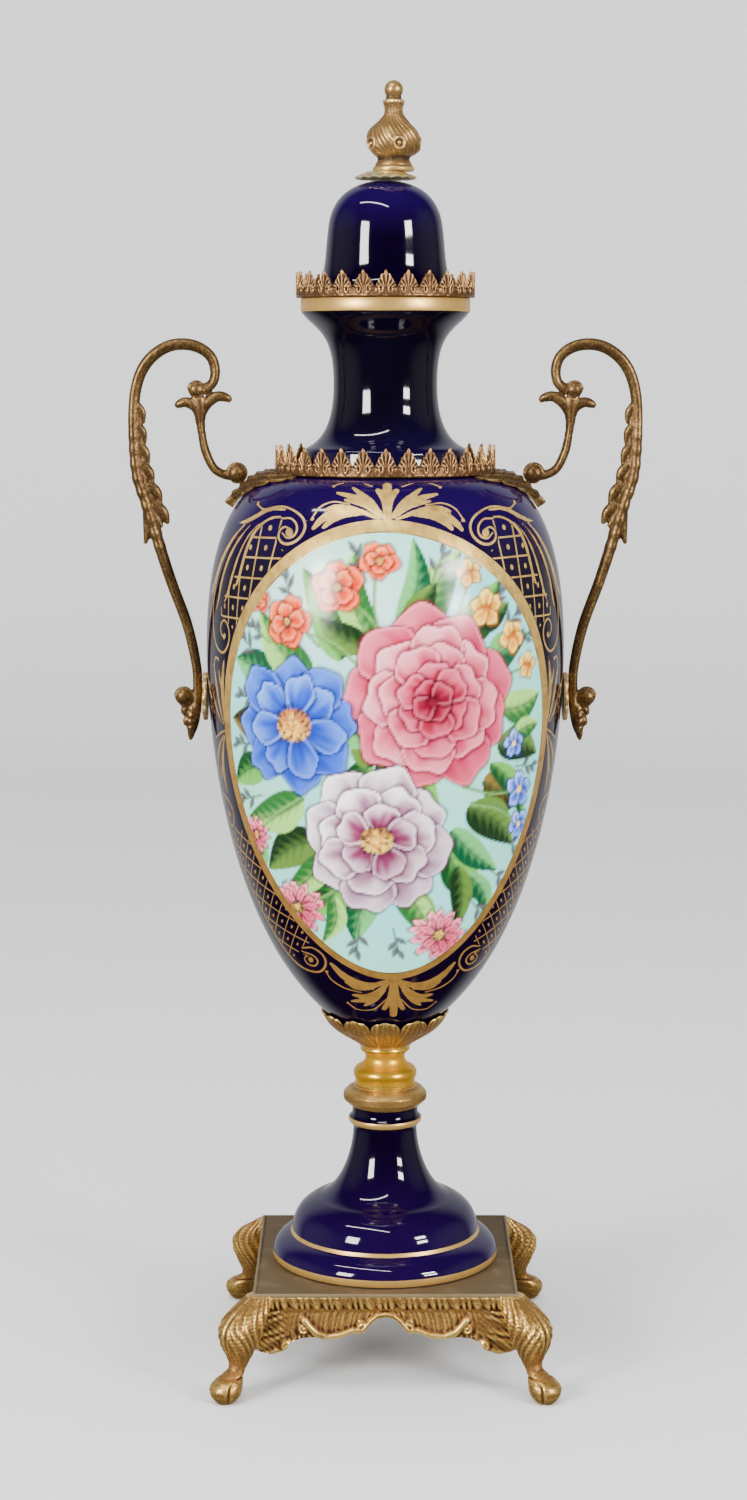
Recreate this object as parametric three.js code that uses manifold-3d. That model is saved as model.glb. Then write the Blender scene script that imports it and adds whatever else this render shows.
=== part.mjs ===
// Mantel urn: a covered porcelain vase with gilt brass handles, galleries and a footed plinth.
// Millimetres, +Z up, the front faces -Y, and the origin is on the floor under the centre.
import * as THREE from "three";
import * as BufferGeometryUtils from "three/addons/utils/BufferGeometryUtils.js";
import Module from "manifold-3d";

const wasm = await Module();
wasm.setup();

// ---- Driving dimensions ----
const FIT_GAP = 0.3; // between two pieces that touch

// Plinth
const PLATE_HALF = 61.2;
const PLATE_TOP = 47.2;
const PLATE_THICKNESS = 4;
const CORNICE_BOTTOM = 38;
const CORNICE_HALF = 59.2;
const GADROONS_PER_SIDE = 17;
const GADROON_DEPTH = 1.7;
const APRON_FACE = 60;
const APRON_THICKNESS = 4.5;
const KNEE_SIDES = 8;

// Foot, stem and cup
const FOOT_TOP = 120.7;
const FOOT_WALL = 4;
const COLLAR_TOP = 131.2;
const COLLAR_RADIUS = 19.9;
const SPOOL_TOP = 149.9;
const SPOOL_WAIST = 9.2;
const CUP_LOBES = 12;
const CUP_SCALLOP = 2.6;

// Body and neck
const BODY_BOTTOM = 158;
const BODY_RADIUS = 83.5;
const BODY_WIDEST = 340;
const BODY_TOP = 421.4;
const BODY_MOUTH = 30;
const BODY_WALL = 5;
const NECK_WAIST = 24;
const NECK_WAIST_HEIGHT = 463;
const NECK_BASE = 38;
const NECK_TOP = 501.7;
const NECK_RIM = 38.9;
const NECK_WALL = 3.5;

// Galleries, lid and finial
const SHOULDER_GALLERY = {
  radius: 51.2, inner: NECK_BASE + FIT_GAP, bottom: BODY_TOP + FIT_GAP, top: 435, leaves: 31,
};
const RIM_GALLERY = { radius: 41.2, inner: 35.6, bottom: NECK_TOP + FIT_GAP, top: 514, leaves: 25 };
const GALLERY_FLANGE = 1.5;
const GALLERY_LEAF_THICKNESS = 1.1;
const GALLERY_VALLEY = 0.45; // height of the notch between leaves, as a share of the leaf
const LID_SEAT = RIM_GALLERY.bottom + GALLERY_FLANGE + FIT_GAP;
const LID_FLANGE = 38;
const LID_TOP = 555;
const LID_WALL = 3.4;
const FINIAL_OFFSET = 3.7; // the finial stands a little to the right of the lid's axis
const FINIAL_BOTTOM = 559.2;
const TOTAL_HEIGHT = 600;

// Handles and their fixings
const HANDLE_ROSETTE = { radius: 11.5, height: 317.6, scallops: 9, seat: 83.6 };
const SHOULDER_LEAF_SPREAD = THREE.MathUtils.degToRad(45);
const SHOULDER_LEAF_THICKNESS = 4.2;

// ---- Materials ----
const porcelain = { color: 0x0b0d2c, roughness: 0.08, metalness: 0 };
const gilt = { color: 0xa9803a, roughness: 0.38, metalness: 1 };
const satinGold = { color: 0xd8a84a, roughness: 0.32, metalness: 1 };

// ---- Helpers ----
const point = (radius, height) => new THREE.Vector2(radius, height);
const points = (pairs) => pairs.map(([radius, height]) => point(radius, height));

function bezier(start, control1, control2, end, steps) {
  const corners = points([start, control1, control2, end]);
  return new THREE.CubicBezierCurve(...corners).getPoints(steps);
}

// Shifts a profile that runs upwards towards the axis, by the thickness of the wall.
function offsetInwards(profile, distance) {
  return profile.map((here, index) => {
    const before = profile[Math.max(index - 1, 0)];
    const after = profile[Math.min(index + 1, profile.length - 1)];
    const along = after.clone().sub(before).normalize();
    return point(Math.max(here.x - along.y * distance, 0), here.y + along.x * distance);
  });
}

function lathe(profile, segments) {
  return new THREE.LatheGeometry(profile, segments).rotateX(Math.PI / 2);
}

// Moves every vertex by a rule on its angle from the front, its radius and its height.
function carve(geometry, rule) {
  const position = geometry.attributes.position;
  for (let index = 0; index < position.count; index += 1) {
    const x = position.getX(index);
    const y = position.getY(index);
    const radius = Math.hypot(x, y);
    const angle = Math.atan2(x, -y);
    const [newRadius, newHeight] = rule(angle, radius, position.getZ(index));
    position.setXYZ(index, newRadius * Math.sin(angle), -newRadius * Math.cos(angle), newHeight);
  }
  return geometry;
}

// Joins rings of equal length into one skin, and closes both ends with a fan.
function loft(rings) {
  const sides = rings[0].length;
  const vertices = rings.flat();
  const first = vertices.length;
  for (const ring of [rings[0], rings[rings.length - 1]]) {
    const centre = ring.reduce((sum, corner) => sum.add(corner), new THREE.Vector3());
    vertices.push(centre.divideScalar(sides));
  }
  const faces = [];
  for (let row = 0; row < rings.length - 1; row += 1) {
    for (let side = 0; side < sides; side += 1) {
      const a = row * sides + side;
      const b = row * sides + ((side + 1) % sides);
      faces.push(a, b, b + sides, a, b + sides, a + sides);
    }
  }
  const lastRow = (rings.length - 1) * sides;
  for (let side = 0; side < sides; side += 1) {
    const next = (side + 1) % sides;
    faces.push(first, next, side);
    faces.push(first + 1, lastRow + side, lastRow + next);
  }
  const geometry = new THREE.BufferGeometry().setFromPoints(vertices);
  geometry.setIndex(faces);
  return geometry;
}

function toSolid(geometry) {
  const bare = geometry.clone();
  bare.deleteAttribute("normal");
  bare.deleteAttribute("uv");
  const merged = BufferGeometryUtils.mergeVertices(bare, 1e-4);
  return new wasm.Manifold(
    new wasm.Mesh({
      numProp: 3,
      vertProperties: new Float32Array(merged.attributes.position.array),
      triVerts: new Uint32Array(merged.index.array),
    }),
  );
}

function fromSolid(solid) {
  const mesh = solid.getMesh();
  const geometry = new THREE.BufferGeometry();
  geometry.setAttribute("position", new THREE.BufferAttribute(mesh.vertProperties, 3));
  geometry.setIndex(new THREE.BufferAttribute(mesh.triVerts, 1));
  return geometry;
}

function joined(geometries) {
  return geometries.map(toSolid).reduce((sum, solid) => sum.add(solid));
}

// A planar rod in the XZ plane. Each stop is [x, z, half width in the plane, half width along Y].
function taperedRod(stops, steps, sides) {
  const places = stops.map(([x, z]) => new THREE.Vector3(x, 0, z));
  const path = new THREE.CatmullRomCurve3(places, false, "centripetal");
  const rings = [];
  for (let step = 0; step <= steps; step += 1) {
    const share = step / steps;
    const place = path.getPoint(share);
    const tangent = path.getTangent(share);
    const across = new THREE.Vector3(-tangent.z, 0, tangent.x);
    const stop = share * (stops.length - 1);
    const index = Math.min(Math.floor(stop), stops.length - 2);
    const blend = stop - index;
    const wide = THREE.MathUtils.lerp(stops[index][2], stops[index + 1][2], blend);
    const deep = THREE.MathUtils.lerp(stops[index][3], stops[index + 1][3], blend);
    const ring = [];
    for (let side = 0; side < sides; side += 1) {
      const turn = (side / sides) * 2 * Math.PI;
      const corner = place.clone().addScaledVector(across, wide * Math.cos(turn));
      corner.y -= deep * Math.sin(turn);
      ring.push(corner);
    }
    rings.push(ring);
  }
  return loft(rings);
}

function ball(x, z, radius) {
  return new THREE.SphereGeometry(radius, 6, 4).rotateX(Math.PI / 2).translate(x, 0, z);
}

// ---- Plinth ----
// Lower edge of the apron from the middle arch out to the knee: [distance from the middle, height].
const APRON_EDGE = [
  [0, 35.5], [4, 34.4], [7.6, 31.4], [10.5, 27.6], [15, 28.4], [20.5, 25.3], [27, 24.8],
  [33, 26.2], [39, 25.8], [43.5, 23.6], [46, 19.8], [52.5, 17.8], [59, 19.2],
];

// Cabriole leg, from the plate to the ball foot: [height, distance of the centre from each mid
// plane, half width].
const LEG_STATIONS = [
  [46, 57.4, 5.8], [40, 63.2, 9.4], [34, 66.4, 10.4], [28, 67.2, 9.5], [22, 67.4, 6.8], [15.4, 67.6, 4.2],
  [12.2, 70.2, 4.6], [10.4, 72.4, 7], [6.6, 73.4, 7.8], [2.6, 73.6, 6.4], [0, 73.6, 3.8],
];

function scallopedSquare(half, depth, count) {
  const outline = [];
  const pitch = (2 * half) / count;
  for (let side = 0; side < 4; side += 1) {
    const turn = (side * Math.PI) / 2;
    for (let bump = 0; bump < count; bump += 1) {
      for (const [share, rise] of [[0, 0], [0.5, depth]]) {
        const along = -half + (bump + share) * pitch;
        const out = half + rise;
        const x = along * Math.cos(turn) + out * Math.sin(turn);
        const y = along * Math.sin(turn) - out * Math.cos(turn);
        outline.push(new THREE.Vector2(x, y));
      }
    }
  }
  return new THREE.Shape(outline);
}

function apron(turn) {
  const mirrored = APRON_EDGE.slice(1).map(([distance, height]) => point(-distance, height)).reverse();
  const edge = [...mirrored, ...points(APRON_EDGE)];
  const end = APRON_EDGE[APRON_EDGE.length - 1][0];
  const shape = new THREE.Shape([...edge, point(end, CORNICE_BOTTOM + 1), point(-end, CORNICE_BOTTOM + 1)]);
  const panel = new THREE.ExtrudeGeometry(shape, { depth: APRON_THICKNESS, bevelEnabled: false });
  return panel.rotateX(Math.PI / 2).translate(0, -APRON_FACE + APRON_THICKNESS, 0).rotateZ(turn);
}

function leg(turn) {
  const rings = LEG_STATIONS.map(([height, centre, half]) => {
    const ring = [];
    for (let side = 0; side < KNEE_SIDES; side += 1) {
      const angle = (side / KNEE_SIDES) * 2 * Math.PI + Math.PI / 4;
      ring.push(new THREE.Vector3(centre + half * Math.cos(angle), centre + half * Math.sin(angle), height));
    }
    return ring;
  }).reverse();
  return loft(rings).rotateZ(turn);
}

function plinth() {
  const plate = new THREE.BoxGeometry(2 * PLATE_HALF, 2 * PLATE_HALF, PLATE_THICKNESS);
  plate.translate(0, 0, PLATE_TOP - PLATE_THICKNESS / 2);
  const corniceHeight = PLATE_TOP - 1.2 - CORNICE_BOTTOM;
  const cornice = new THREE.ExtrudeGeometry(
    scallopedSquare(CORNICE_HALF, GADROON_DEPTH, GADROONS_PER_SIDE),
    { depth: corniceHeight, bevelEnabled: false },
  );
  cornice.translate(0, 0, CORNICE_BOTTOM);
  const hollowHalf = APRON_FACE - APRON_THICKNESS;
  const hollowTop = PLATE_TOP - PLATE_THICKNESS;
  const hollow = new THREE.BoxGeometry(2 * hollowHalf, 2 * hollowHalf, hollowTop);
  hollow.translate(0, 0, hollowTop / 2);
  const turns = [0, 1, 2, 3].map((quarter) => (quarter * Math.PI) / 2);
  const walls = joined([plate, cornice, ...turns.map(apron), ...turns.map(leg)]);
  return fromSolid(walls.subtract(toSolid(hollow)));
}

// ---- Foot and stem ----
function foot() {
  const bottom = PLATE_TOP + FIT_GAP;
  const base = points([
    [46, bottom], [53.3, bottom], [53.8, bottom + 3.5], [52, bottom + 8], [47.4, bottom + 10.5],
  ]);
  const step = points([[45, 60.2], [44.4, 62.2]]);
  const dome = bezier([44.4, 62.2], [43, 71], [38, 74], [33, 76.4], 3).slice(1);
  const stem = bezier([33, 76.4], [21.1, 79.1], [15.2, 99.7], [15.2, 110], 4).slice(1);
  const bead = points([[17.5, 114.4], [15.6, 118.2], [15.6, FOOT_TOP]]);
  const crown = points([[0, FOOT_TOP], [0, FOOT_TOP - FOOT_WALL]]);
  const inside = points([[10.8, FOOT_TOP - FOOT_WALL], [11, 100], [16, 85], [33, 71], [40, 60]]);
  return lathe([...base, ...step, ...dome, ...stem, ...bead, ...crown, ...inside, base[0]], 20);
}

function stemCollar() {
  const bottom = FOOT_TOP + FIT_GAP;
  const profile = points([
    [0, bottom], [15.8, bottom], [18.2, bottom + 1.9], [COLLAR_RADIUS, bottom + 3.6],
    [COLLAR_RADIUS, bottom + 6.2], [17.7, bottom + 9.6], [14.6, COLLAR_TOP], [0, COLLAR_TOP],
  ]);
  return lathe(profile, 18);
}

function stemSpool() {
  const bottom = COLLAR_TOP + FIT_GAP;
  const profile = points([
    [0, bottom], [14.3, bottom], [14.4, bottom + 2.6], [15.1, bottom + 5.4], [14.1, bottom + 8.2],
    [10.4, bottom + 10.6], [SPOOL_WAIST, bottom + 13.5], [10, bottom + 15.5], [11.9, bottom + 16.7],
    [11.9, SPOOL_TOP], [0, SPOOL_TOP],
  ]);
  return lathe(profile, 18);
}

// A calyx of leaves that cups the underside of the body; its edge is scalloped leaf by leaf.
function leafCup() {
  const bottom = SPOOL_TOP + FIT_GAP;
  const profile = points([
    [0, bottom], [12.2, bottom], [16, bottom + 3.8], [23.8, bottom + 7.8], [28.1, bottom + 11.8],
    [30, 167.4], [29.2, 167.4], [22.6, 162], [16, BODY_BOTTOM - 0.6], [0, BODY_BOTTOM - 0.6],
  ]);
  return carve(lathe(profile, 2 * CUP_LOBES), (angle, radius, height) => {
    const leaf = Math.abs(Math.cos((angle * CUP_LOBES) / 2));
    const edge = THREE.MathUtils.smoothstep(height, 160, 167);
    return [radius - (1 - leaf) * edge * 1.6, height - (1 - leaf) * edge * CUP_SCALLOP];
  });
}

// ---- Body and neck ----
const bodyWidest = [BODY_RADIUS, BODY_WIDEST];
const bodyLower = bezier([16, BODY_BOTTOM], [72.2, 193], [BODY_RADIUS, 292.9], bodyWidest, 8);
const bodyUpper = new THREE.CubicBezierCurve(
  point(BODY_RADIUS, BODY_WIDEST), point(BODY_RADIUS, 406.3), point(61.3, BODY_TOP), point(46, BODY_TOP),
);

function body() {
  const outside = [...bodyLower, ...bodyUpper.getPoints(5).slice(1)];
  const wall = [bodyLower[1], bodyLower[4], bodyLower[7], bodyUpper.getPoint(0.3), bodyUpper.getPoint(0.65)];
  const inside = offsetInwards(wall, BODY_WALL).reverse();
  const bottom = [point(0, BODY_BOTTOM), ...outside];
  const ceiling = BODY_TOP - BODY_WALL;
  const mouth = points([[BODY_MOUTH, BODY_TOP], [BODY_MOUTH, ceiling], [44, ceiling]]);
  return lathe([...bottom, ...mouth, ...inside, point(0, inside[inside.length - 1].y)], 26);
}

function neck() {
  const bottom = BODY_TOP + FIT_GAP;
  const waist = [NECK_WAIST, NECK_WAIST_HEIGHT];
  const flare = bezier([36.5, 433.5], [26.7, 438], [NECK_WAIST, 449.9], waist, 3);
  const mouth = bezier(waist, [NECK_WAIST, 487.2], [32.2, 486.7], [NECK_RIM, 495.6], 4).slice(1);
  const wall = offsetInwards([flare[1], flare[3], mouth[2]], NECK_WALL).reverse();
  const rim = points([[NECK_RIM, NECK_TOP], [NECK_RIM - NECK_WALL, NECK_TOP]]);
  const foot = points([[NECK_BASE - NECK_WALL, bottom], [NECK_BASE, bottom]]);
  return lathe([...foot, ...flare, ...mouth, ...rim, ...wall, foot[0]], 20);
}

// ---- Galleries ----
// A flat ring with a strip of upright pointed leaves along its outer edge.
function gallery({ radius, inner, bottom, top, leaves }) {
  const flange = bottom + GALLERY_FLANGE;
  const strip = radius - GALLERY_LEAF_THICKNESS;
  const profile = points([[inner, bottom], [radius, bottom], [radius, top], [strip, top], [strip, flange]]);
  return carve(lathe([...profile, profile[0]], 2 * leaves), (angle, distance, height) => {
    const tip = Math.abs(Math.cos((angle * leaves) / 2));
    const share = GALLERY_VALLEY + (1 - GALLERY_VALLEY) * tip;
    return [distance, height > flange + 0.1 ? bottom + (height - bottom) * share : height];
  });
}

// ---- Lid and finial ----
function lid() {
  const plug = points([[29.4, 504.6], [29.4, 498.6], [32.4, 498.6], [32.4, LID_SEAT]]);
  const flange = points([[LID_FLANGE, LID_SEAT], [LID_FLANGE, LID_SEAT + 1]]);
  const flare = bezier([LID_FLANGE, LID_SEAT + 1], [30, 506], [28.6, 512], [27.6, 521], 3).slice(1);
  const dome = bezier([26.1, 535.5], [24.9, 543.4], [19.7, LID_TOP], [0, LID_TOP], 4);
  const inside = points([[0, LID_TOP - LID_WALL], [15, 547.6], [22, 536], [24.4, 516]]);
  return lathe([...plug, ...flange, ...flare, ...dome, ...inside, plug[0]], 20);
}

function finialRosette() {
  const bottom = LID_TOP + FIT_GAP;
  const top = FINIAL_BOTTOM - FIT_GAP;
  const profile = points([
    [0, bottom], [9, bottom], [14.4, bottom + 1.2], [14.2, top - 1], [9, top], [0, top],
  ]);
  return carve(lathe(profile, 24), (angle, radius, height) => {
    const edge = THREE.MathUtils.smoothstep(radius, 10, 14);
    return [radius * (1 - 0.05 * edge * (0.5 - 0.5 * Math.cos(12 * angle))), height];
  });
}

// A bulb of five swirling flutes under a waisted cup and a small ball.
function finial() {
  const profile = points([
    [0, FINIAL_BOTTOM], [9.6, FINIAL_BOTTOM], [7.3, 564.3], [11.2, 568.2], [12.1, 573], [10.8, 577],
    [8.2, 580.4], [4.9, 584.4], [4.1, 587.5], [5, 590.2], [3.7, 592.8], [4.4, 596], [0, TOTAL_HEIGHT],
  ]);
  const bulb = carve(lathe(profile, 15), (angle, radius, height) => {
    const rise = THREE.MathUtils.smoothstep(height, 565, 570);
    const swirl = rise * (1 - THREE.MathUtils.smoothstep(height, 580, 586));
    return [radius * (1 + 0.07 * swirl * Math.cos(5 * angle + height * 0.25)), height];
  });
  return bulb.translate(FINIAL_OFFSET, 0, 0);
}

// ---- Handles ----
// One handle in the XZ plane, drawn for the right side: a long leaf that rises from below the
// rosette, arches over and ends in a scroll, and a shorter stem from the scroll to the shoulder.
// Each stop is [x, z, half width in the plane, half width along Y].
const LONG_ARM = [
  [91.9, 296.3, 0.5, 0.9], [90, 303, 1.9, 2.4], [88.6, 311, 2.2, 2.8], [88.1, 320, 2.2, 2.6],
  [88.4, 331, 2.3, 2.6], [92.5, 350.5, 2.5, 2.7], [100, 371.6, 2.6, 2.9], [105.4, 388.6, 2.9, 3.4],
  [111.6, 408.3, 3.3, 4.2],
  [114.9, 420, 3.2, 4], [116.6, 435, 2.9, 3.2], [116.6, 453, 2.9, 2.9], [114.2, 465, 2.9, 2.9],
  [109.6, 473.4, 2.9, 2.9], [102.2, 479.2, 2.9, 2.9], [94.5, 481.1, 2.8, 2.9], [86.7, 479.8, 2.7, 2.9],
  [80.8, 475.6, 2.5, 2.9], [78.6, 469.6, 2.4, 2.8], [79.6, 463.4, 2.3, 2.8], [84.2, 459.6, 2.6, 3],
];
const STEM = [
  [86.6, 457.5, 3, 3], [85.6, 449, 1.9, 2.2], [85.4, 443, 1.9, 2.2], [83.6, 432, 2, 2.3],
  [79.4, 423.6, 2, 2.3], [70.6, 420.6, 2.2, 2.4],
];
const CALYX_WINGS = [
  [[85.4, 451.6, 2.4, 2.6], [91, 452, 1.8, 2.4], [95.6, 454.4, 0.5, 0.8]],
  [[84.6, 451.6, 2.4, 2.6], [77, 452, 1.9, 2.4], [71.4, 456.8, 0.5, 0.8]],
];
const OUTER_LEAF = [[110.6, 403, 1.8, 2.4], [111.2, 396, 1.7, 2.2], [112, 388.6, 0.4, 0.8]];
const LOWER_SCROLL_LEAF = [[90, 310.5, 1.6, 1.8], [93.4, 311.6, 1.3, 1.6], [97.4, 309.6, 0.4, 0.7]];
const ARM_LOBES = { count: 5, lowest: 402, pitch: 10.4 }; // on the side that faces the body

// Distance of the rising arm from the axis at a height.
function armAt(height) {
  const above = LONG_ARM.findIndex(([, z]) => z > height);
  const [lower, upper] = [LONG_ARM[above - 1], LONG_ARM[above]];
  return THREE.MathUtils.mapLinear(height, lower[1], upper[1], lower[0], upper[0]);
}

// Short lobes of the long leaf, whose tips point down and towards the body.
function leafLobes() {
  return Array.from({ length: ARM_LOBES.count }, (_, index) => {
    const height = ARM_LOBES.lowest + index * ARM_LOBES.pitch;
    const arm = armAt(height);
    return taperedRod([[arm + 0.4, height + 5, 2.4, 2.8], [arm - 5.2, height - 2.6, 0.5, 1]], 1, 4);
  });
}

function handle(side) {
  const details = [...CALYX_WINGS, OUTER_LEAF, LOWER_SCROLL_LEAF].map((stops) => taperedRod(stops, 2, 4));
  const balls = [ball(87.4, 460.2, 3.9), ball(68.9, 421.8, 4.6), ball(94.4, 317.8, 3.8)];
  const link = taperedRod([[89, 313.6, 1.2, 1.4], [93.4, 315.6, 1.2, 1.4]], 1, 4);
  const arms = [taperedRod(LONG_ARM, 21, 5), taperedRod(STEM, 5, 5)];
  const right = joined([...arms, ...details, ...leafLobes(), ...balls, link]);
  return fromSolid(side > 0 ? right : right.mirror([1, 0, 0]));
}

// A broad leaf that lies on the shoulder, wide beside the gallery and narrowing outwards to a knob.
function shoulderLeaf(side) {
  const along = 5;
  const across = 8;
  const top = [];
  const bottom = [];
  for (let row = 0; row <= along; row += 1) {
    const share = row / along;
    const place = bodyUpper.getPoint(THREE.MathUtils.lerp(0.85, 0.5, share));
    const tangent = bodyUpper.getTangent(THREE.MathUtils.lerp(0.85, 0.5, share));
    const normal = point(tangent.y, -tangent.x);
    const spread = SHOULDER_LEAF_SPREAD * (0.08 + 0.92 * (1 - share) ** 1.5);
    for (let column = 0; column <= across; column += 1) {
      const turn = (column / across) * 2 - 1;
      const angle = turn * spread * (1 + 0.05 * Math.cos(column * Math.PI));
      const knob = THREE.MathUtils.smoothstep(share, 0.75, 1) * 1.4;
      const rib = (1 - turn * turn) * (0.5 + 0.5 * Math.min(1, share * 3));
      const thick = 1.2 + (SHOULDER_LEAF_THICKNESS - 1.2 + knob) * rib;
      for (const [list, lift] of [[bottom, 0.5], [top, 0.5 + thick]]) {
        const radius = place.x + normal.x * lift;
        const height = place.y + normal.y * lift;
        list.push(new THREE.Vector3(radius * Math.cos(angle), radius * Math.sin(angle), height));
      }
    }
  }
  return slab(top, bottom, along, across).rotateZ(side > 0 ? 0 : Math.PI);
}

// Closes two grids of points, one above the other, into one skin.
function slab(top, bottom, rows, columns) {
  const width = columns + 1;
  const below = top.length;
  const faces = [];
  for (let row = 0; row < rows; row += 1) {
    for (let column = 0; column < columns; column += 1) {
      const a = row * width + column;
      const [b, c, d] = [a + 1, a + width + 1, a + width];
      faces.push(a, d, c, a, c, b);
      faces.push(below + a, below + c, below + d, below + a, below + b, below + c);
    }
  }
  const edge = [];
  for (let column = 0; column < columns; column += 1) edge.push(column);
  for (let row = 0; row < rows; row += 1) edge.push(row * width + columns);
  for (let column = columns; column > 0; column -= 1) edge.push(rows * width + column);
  for (let row = rows; row > 0; row -= 1) edge.push(row * width);
  edge.forEach((a, index) => {
    const b = edge[(index + 1) % edge.length];
    faces.push(a, b, below + b, a, below + b, below + a);
  });
  const geometry = new THREE.BufferGeometry().setFromPoints([...top, ...bottom]);
  geometry.setIndex(faces);
  return geometry;
}

// A scalloped dished disc between the body and the lower end of a handle.
function handleRosette(side) {
  const { radius, height, scallops, seat } = HANDLE_ROSETTE;
  const profile = points([[0, 0], [radius, -0.4], [radius, 1.2], [7.2, 0.9], [0, 1.9]]);
  const disc = carve(lathe(profile, 2 * scallops), (angle, distance, rise) => {
    const edge = THREE.MathUtils.smoothstep(distance, 8, radius);
    return [distance * (1 - 0.09 * edge * (1 - Math.abs(Math.cos((angle * scallops) / 2)))), rise];
  });
  return disc.rotateY((side * Math.PI) / 2).translate(side * seat, 0, height);
}

// ---- Assembly ----
const group = new THREE.Group();

function addPiece(name, geometry, material) {
  const mesh = new THREE.Mesh(geometry, new THREE.MeshStandardMaterial(material));
  mesh.name = name;
  group.add(mesh);
}

addPiece("plinth", plinth(), gilt);
addPiece("foot", foot(), porcelain);
addPiece("stem_collar", stemCollar(), gilt);
addPiece("stem_spool", stemSpool(), satinGold);
addPiece("leaf_cup", leafCup(), gilt);
addPiece("body", body(), porcelain);
addPiece("shoulder_gallery", gallery(SHOULDER_GALLERY), gilt);
addPiece("neck", neck(), porcelain);
addPiece("rim_gallery", gallery(RIM_GALLERY), gilt);
addPiece("lid", lid(), porcelain);
addPiece("finial_rosette", finialRosette(), gilt);
addPiece("finial", finial(), gilt);
for (const [name, side] of [["left", -1], ["right", 1]]) {
  addPiece(`handle_${name}`, handle(side), gilt);
  addPiece(`shoulder_leaf_${name}`, shoulderLeaf(side), gilt);
  addPiece(`handle_rosette_${name}`, handleRosette(side), gilt);
}

export default group;
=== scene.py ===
"""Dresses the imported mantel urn: porcelain, painted panel, gilding and cast gilt brass mounts.

Sizes are in millimetres while a mesh is being made, and every finished mesh is in metres. Angles round
the urn start at the front and grow to the right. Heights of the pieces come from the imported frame.
"""

import logging
import math
from collections.abc import Callable, Sequence
from dataclasses import dataclass, field
from enum import Enum

import bmesh
import bpy
import numpy as np
from mathutils import Matrix, Vector

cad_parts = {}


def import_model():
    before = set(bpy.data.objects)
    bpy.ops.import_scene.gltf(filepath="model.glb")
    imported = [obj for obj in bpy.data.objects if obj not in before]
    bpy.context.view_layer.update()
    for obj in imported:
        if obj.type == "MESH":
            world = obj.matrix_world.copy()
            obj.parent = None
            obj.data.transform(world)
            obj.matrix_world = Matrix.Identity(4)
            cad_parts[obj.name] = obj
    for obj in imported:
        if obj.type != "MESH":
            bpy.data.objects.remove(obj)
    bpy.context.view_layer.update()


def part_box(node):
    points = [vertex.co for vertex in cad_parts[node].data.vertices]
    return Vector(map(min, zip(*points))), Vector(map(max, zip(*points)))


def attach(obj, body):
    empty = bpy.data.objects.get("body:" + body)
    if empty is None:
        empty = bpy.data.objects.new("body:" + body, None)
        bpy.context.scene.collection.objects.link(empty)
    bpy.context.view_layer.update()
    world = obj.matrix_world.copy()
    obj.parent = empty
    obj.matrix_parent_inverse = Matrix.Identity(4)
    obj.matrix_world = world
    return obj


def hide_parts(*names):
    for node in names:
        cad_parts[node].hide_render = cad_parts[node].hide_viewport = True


MM = 0.001
ROOT = "root"
TURN = 2 * math.pi
LOG = logging.getLogger("mantel_urn")

Pair = tuple[float, float]
Triple = tuple[float, float, float]
Colour = tuple[float, float, float]
Screen = tuple[int, int, int]
Stops = Sequence[Sequence[float]]
Shape = bmesh.types.BMesh
Material = bpy.types.Material

BODY_RADIUS = 83.5
BODY_WIDEST = (BODY_RADIUS, 340)
BODY_LOWER = ((16, 158), (72.2, 193), (BODY_RADIUS, 292.9), BODY_WIDEST)
BODY_UPPER = (BODY_WIDEST, (BODY_RADIUS, 406.3), (61.3, 421.4), (46, 421.4))
MERGE = 1e-4  # vertices closer than this are one
SPECK = 1e-5  # edges shorter than this are dropped
SEAM = 0.9999  # the share of a full turn that is taken for its start
PORCELAIN_SIDES = 112
FAR = 60.0  # stands for a place that nothing is near to


class Slot(Enum):
    """The record's material slots."""

    PORCELAIN = "cobalt_porcelain"
    BRASS = "gilt_brass"
    SATIN = "satin_gold"


class Side(Enum):
    """The side that a handle is on, as it is seen from the front."""

    LEFT = "left"
    RIGHT = "right"


def levels(node: str) -> Pair:
    """Returns a CAD node's lowest and highest level in millimetres, to a tenth."""
    return tuple(round(corner[2] / MM, 1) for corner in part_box(node))


# ---- numbers and curves


def smooth(low: float, high: float, value: float) -> float:
    """Returns 0 below low, 1 above high and an S curve between them."""
    share = min(max((value - low) / (high - low), 0.0), 1.0)
    return share * share * (3 - 2 * share)


def bump(value: float, centre: float, width: float) -> float:
    """Returns a bell of height 1 at centre that falls off over width."""
    return math.exp(-(((value - centre) / width) ** 2))


def bezier(start: Pair, out: Pair, into: Pair, end: Pair, steps: int) -> list[Pair]:
    """Samples a cubic curve.

    Args:
        start: First point.
        out: Handle that the curve leaves towards.
        into: Handle that it arrives from.
        end: Last point.
        steps: Number of equal steps of the curve's own parameter.

    Returns:
        steps + 1 points from start to end.
    """
    corners = (start, out, into, end)
    points = []
    for index in range(steps + 1):
        t = index / steps
        weights = ((1 - t) ** 3, 3 * t * (1 - t) ** 2, 3 * t * t * (1 - t), t**3)
        points.append(tuple(sum(w * p[axis] for w, p in zip(weights, corners)) for axis in (0, 1)))
    return points


def even(points: Sequence[Pair], spacing: float) -> list[Pair]:
    """Resamples a polyline evenly.

    Args:
        points: The polyline.
        spacing: About how far apart the new points lie.

    Returns:
        The new points, with both ends kept.
    """
    path = np.array(points, float)
    run = np.concatenate([[0.0], np.cumsum(np.hypot(*np.diff(path, axis=0).T))])
    count = max(int(round(run[-1] / spacing)), 1)
    stops = np.linspace(0, run[-1], count + 1)
    return list(zip(np.interp(stops, run, path[:, 0]), np.interp(stops, run, path[:, 1])))


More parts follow.
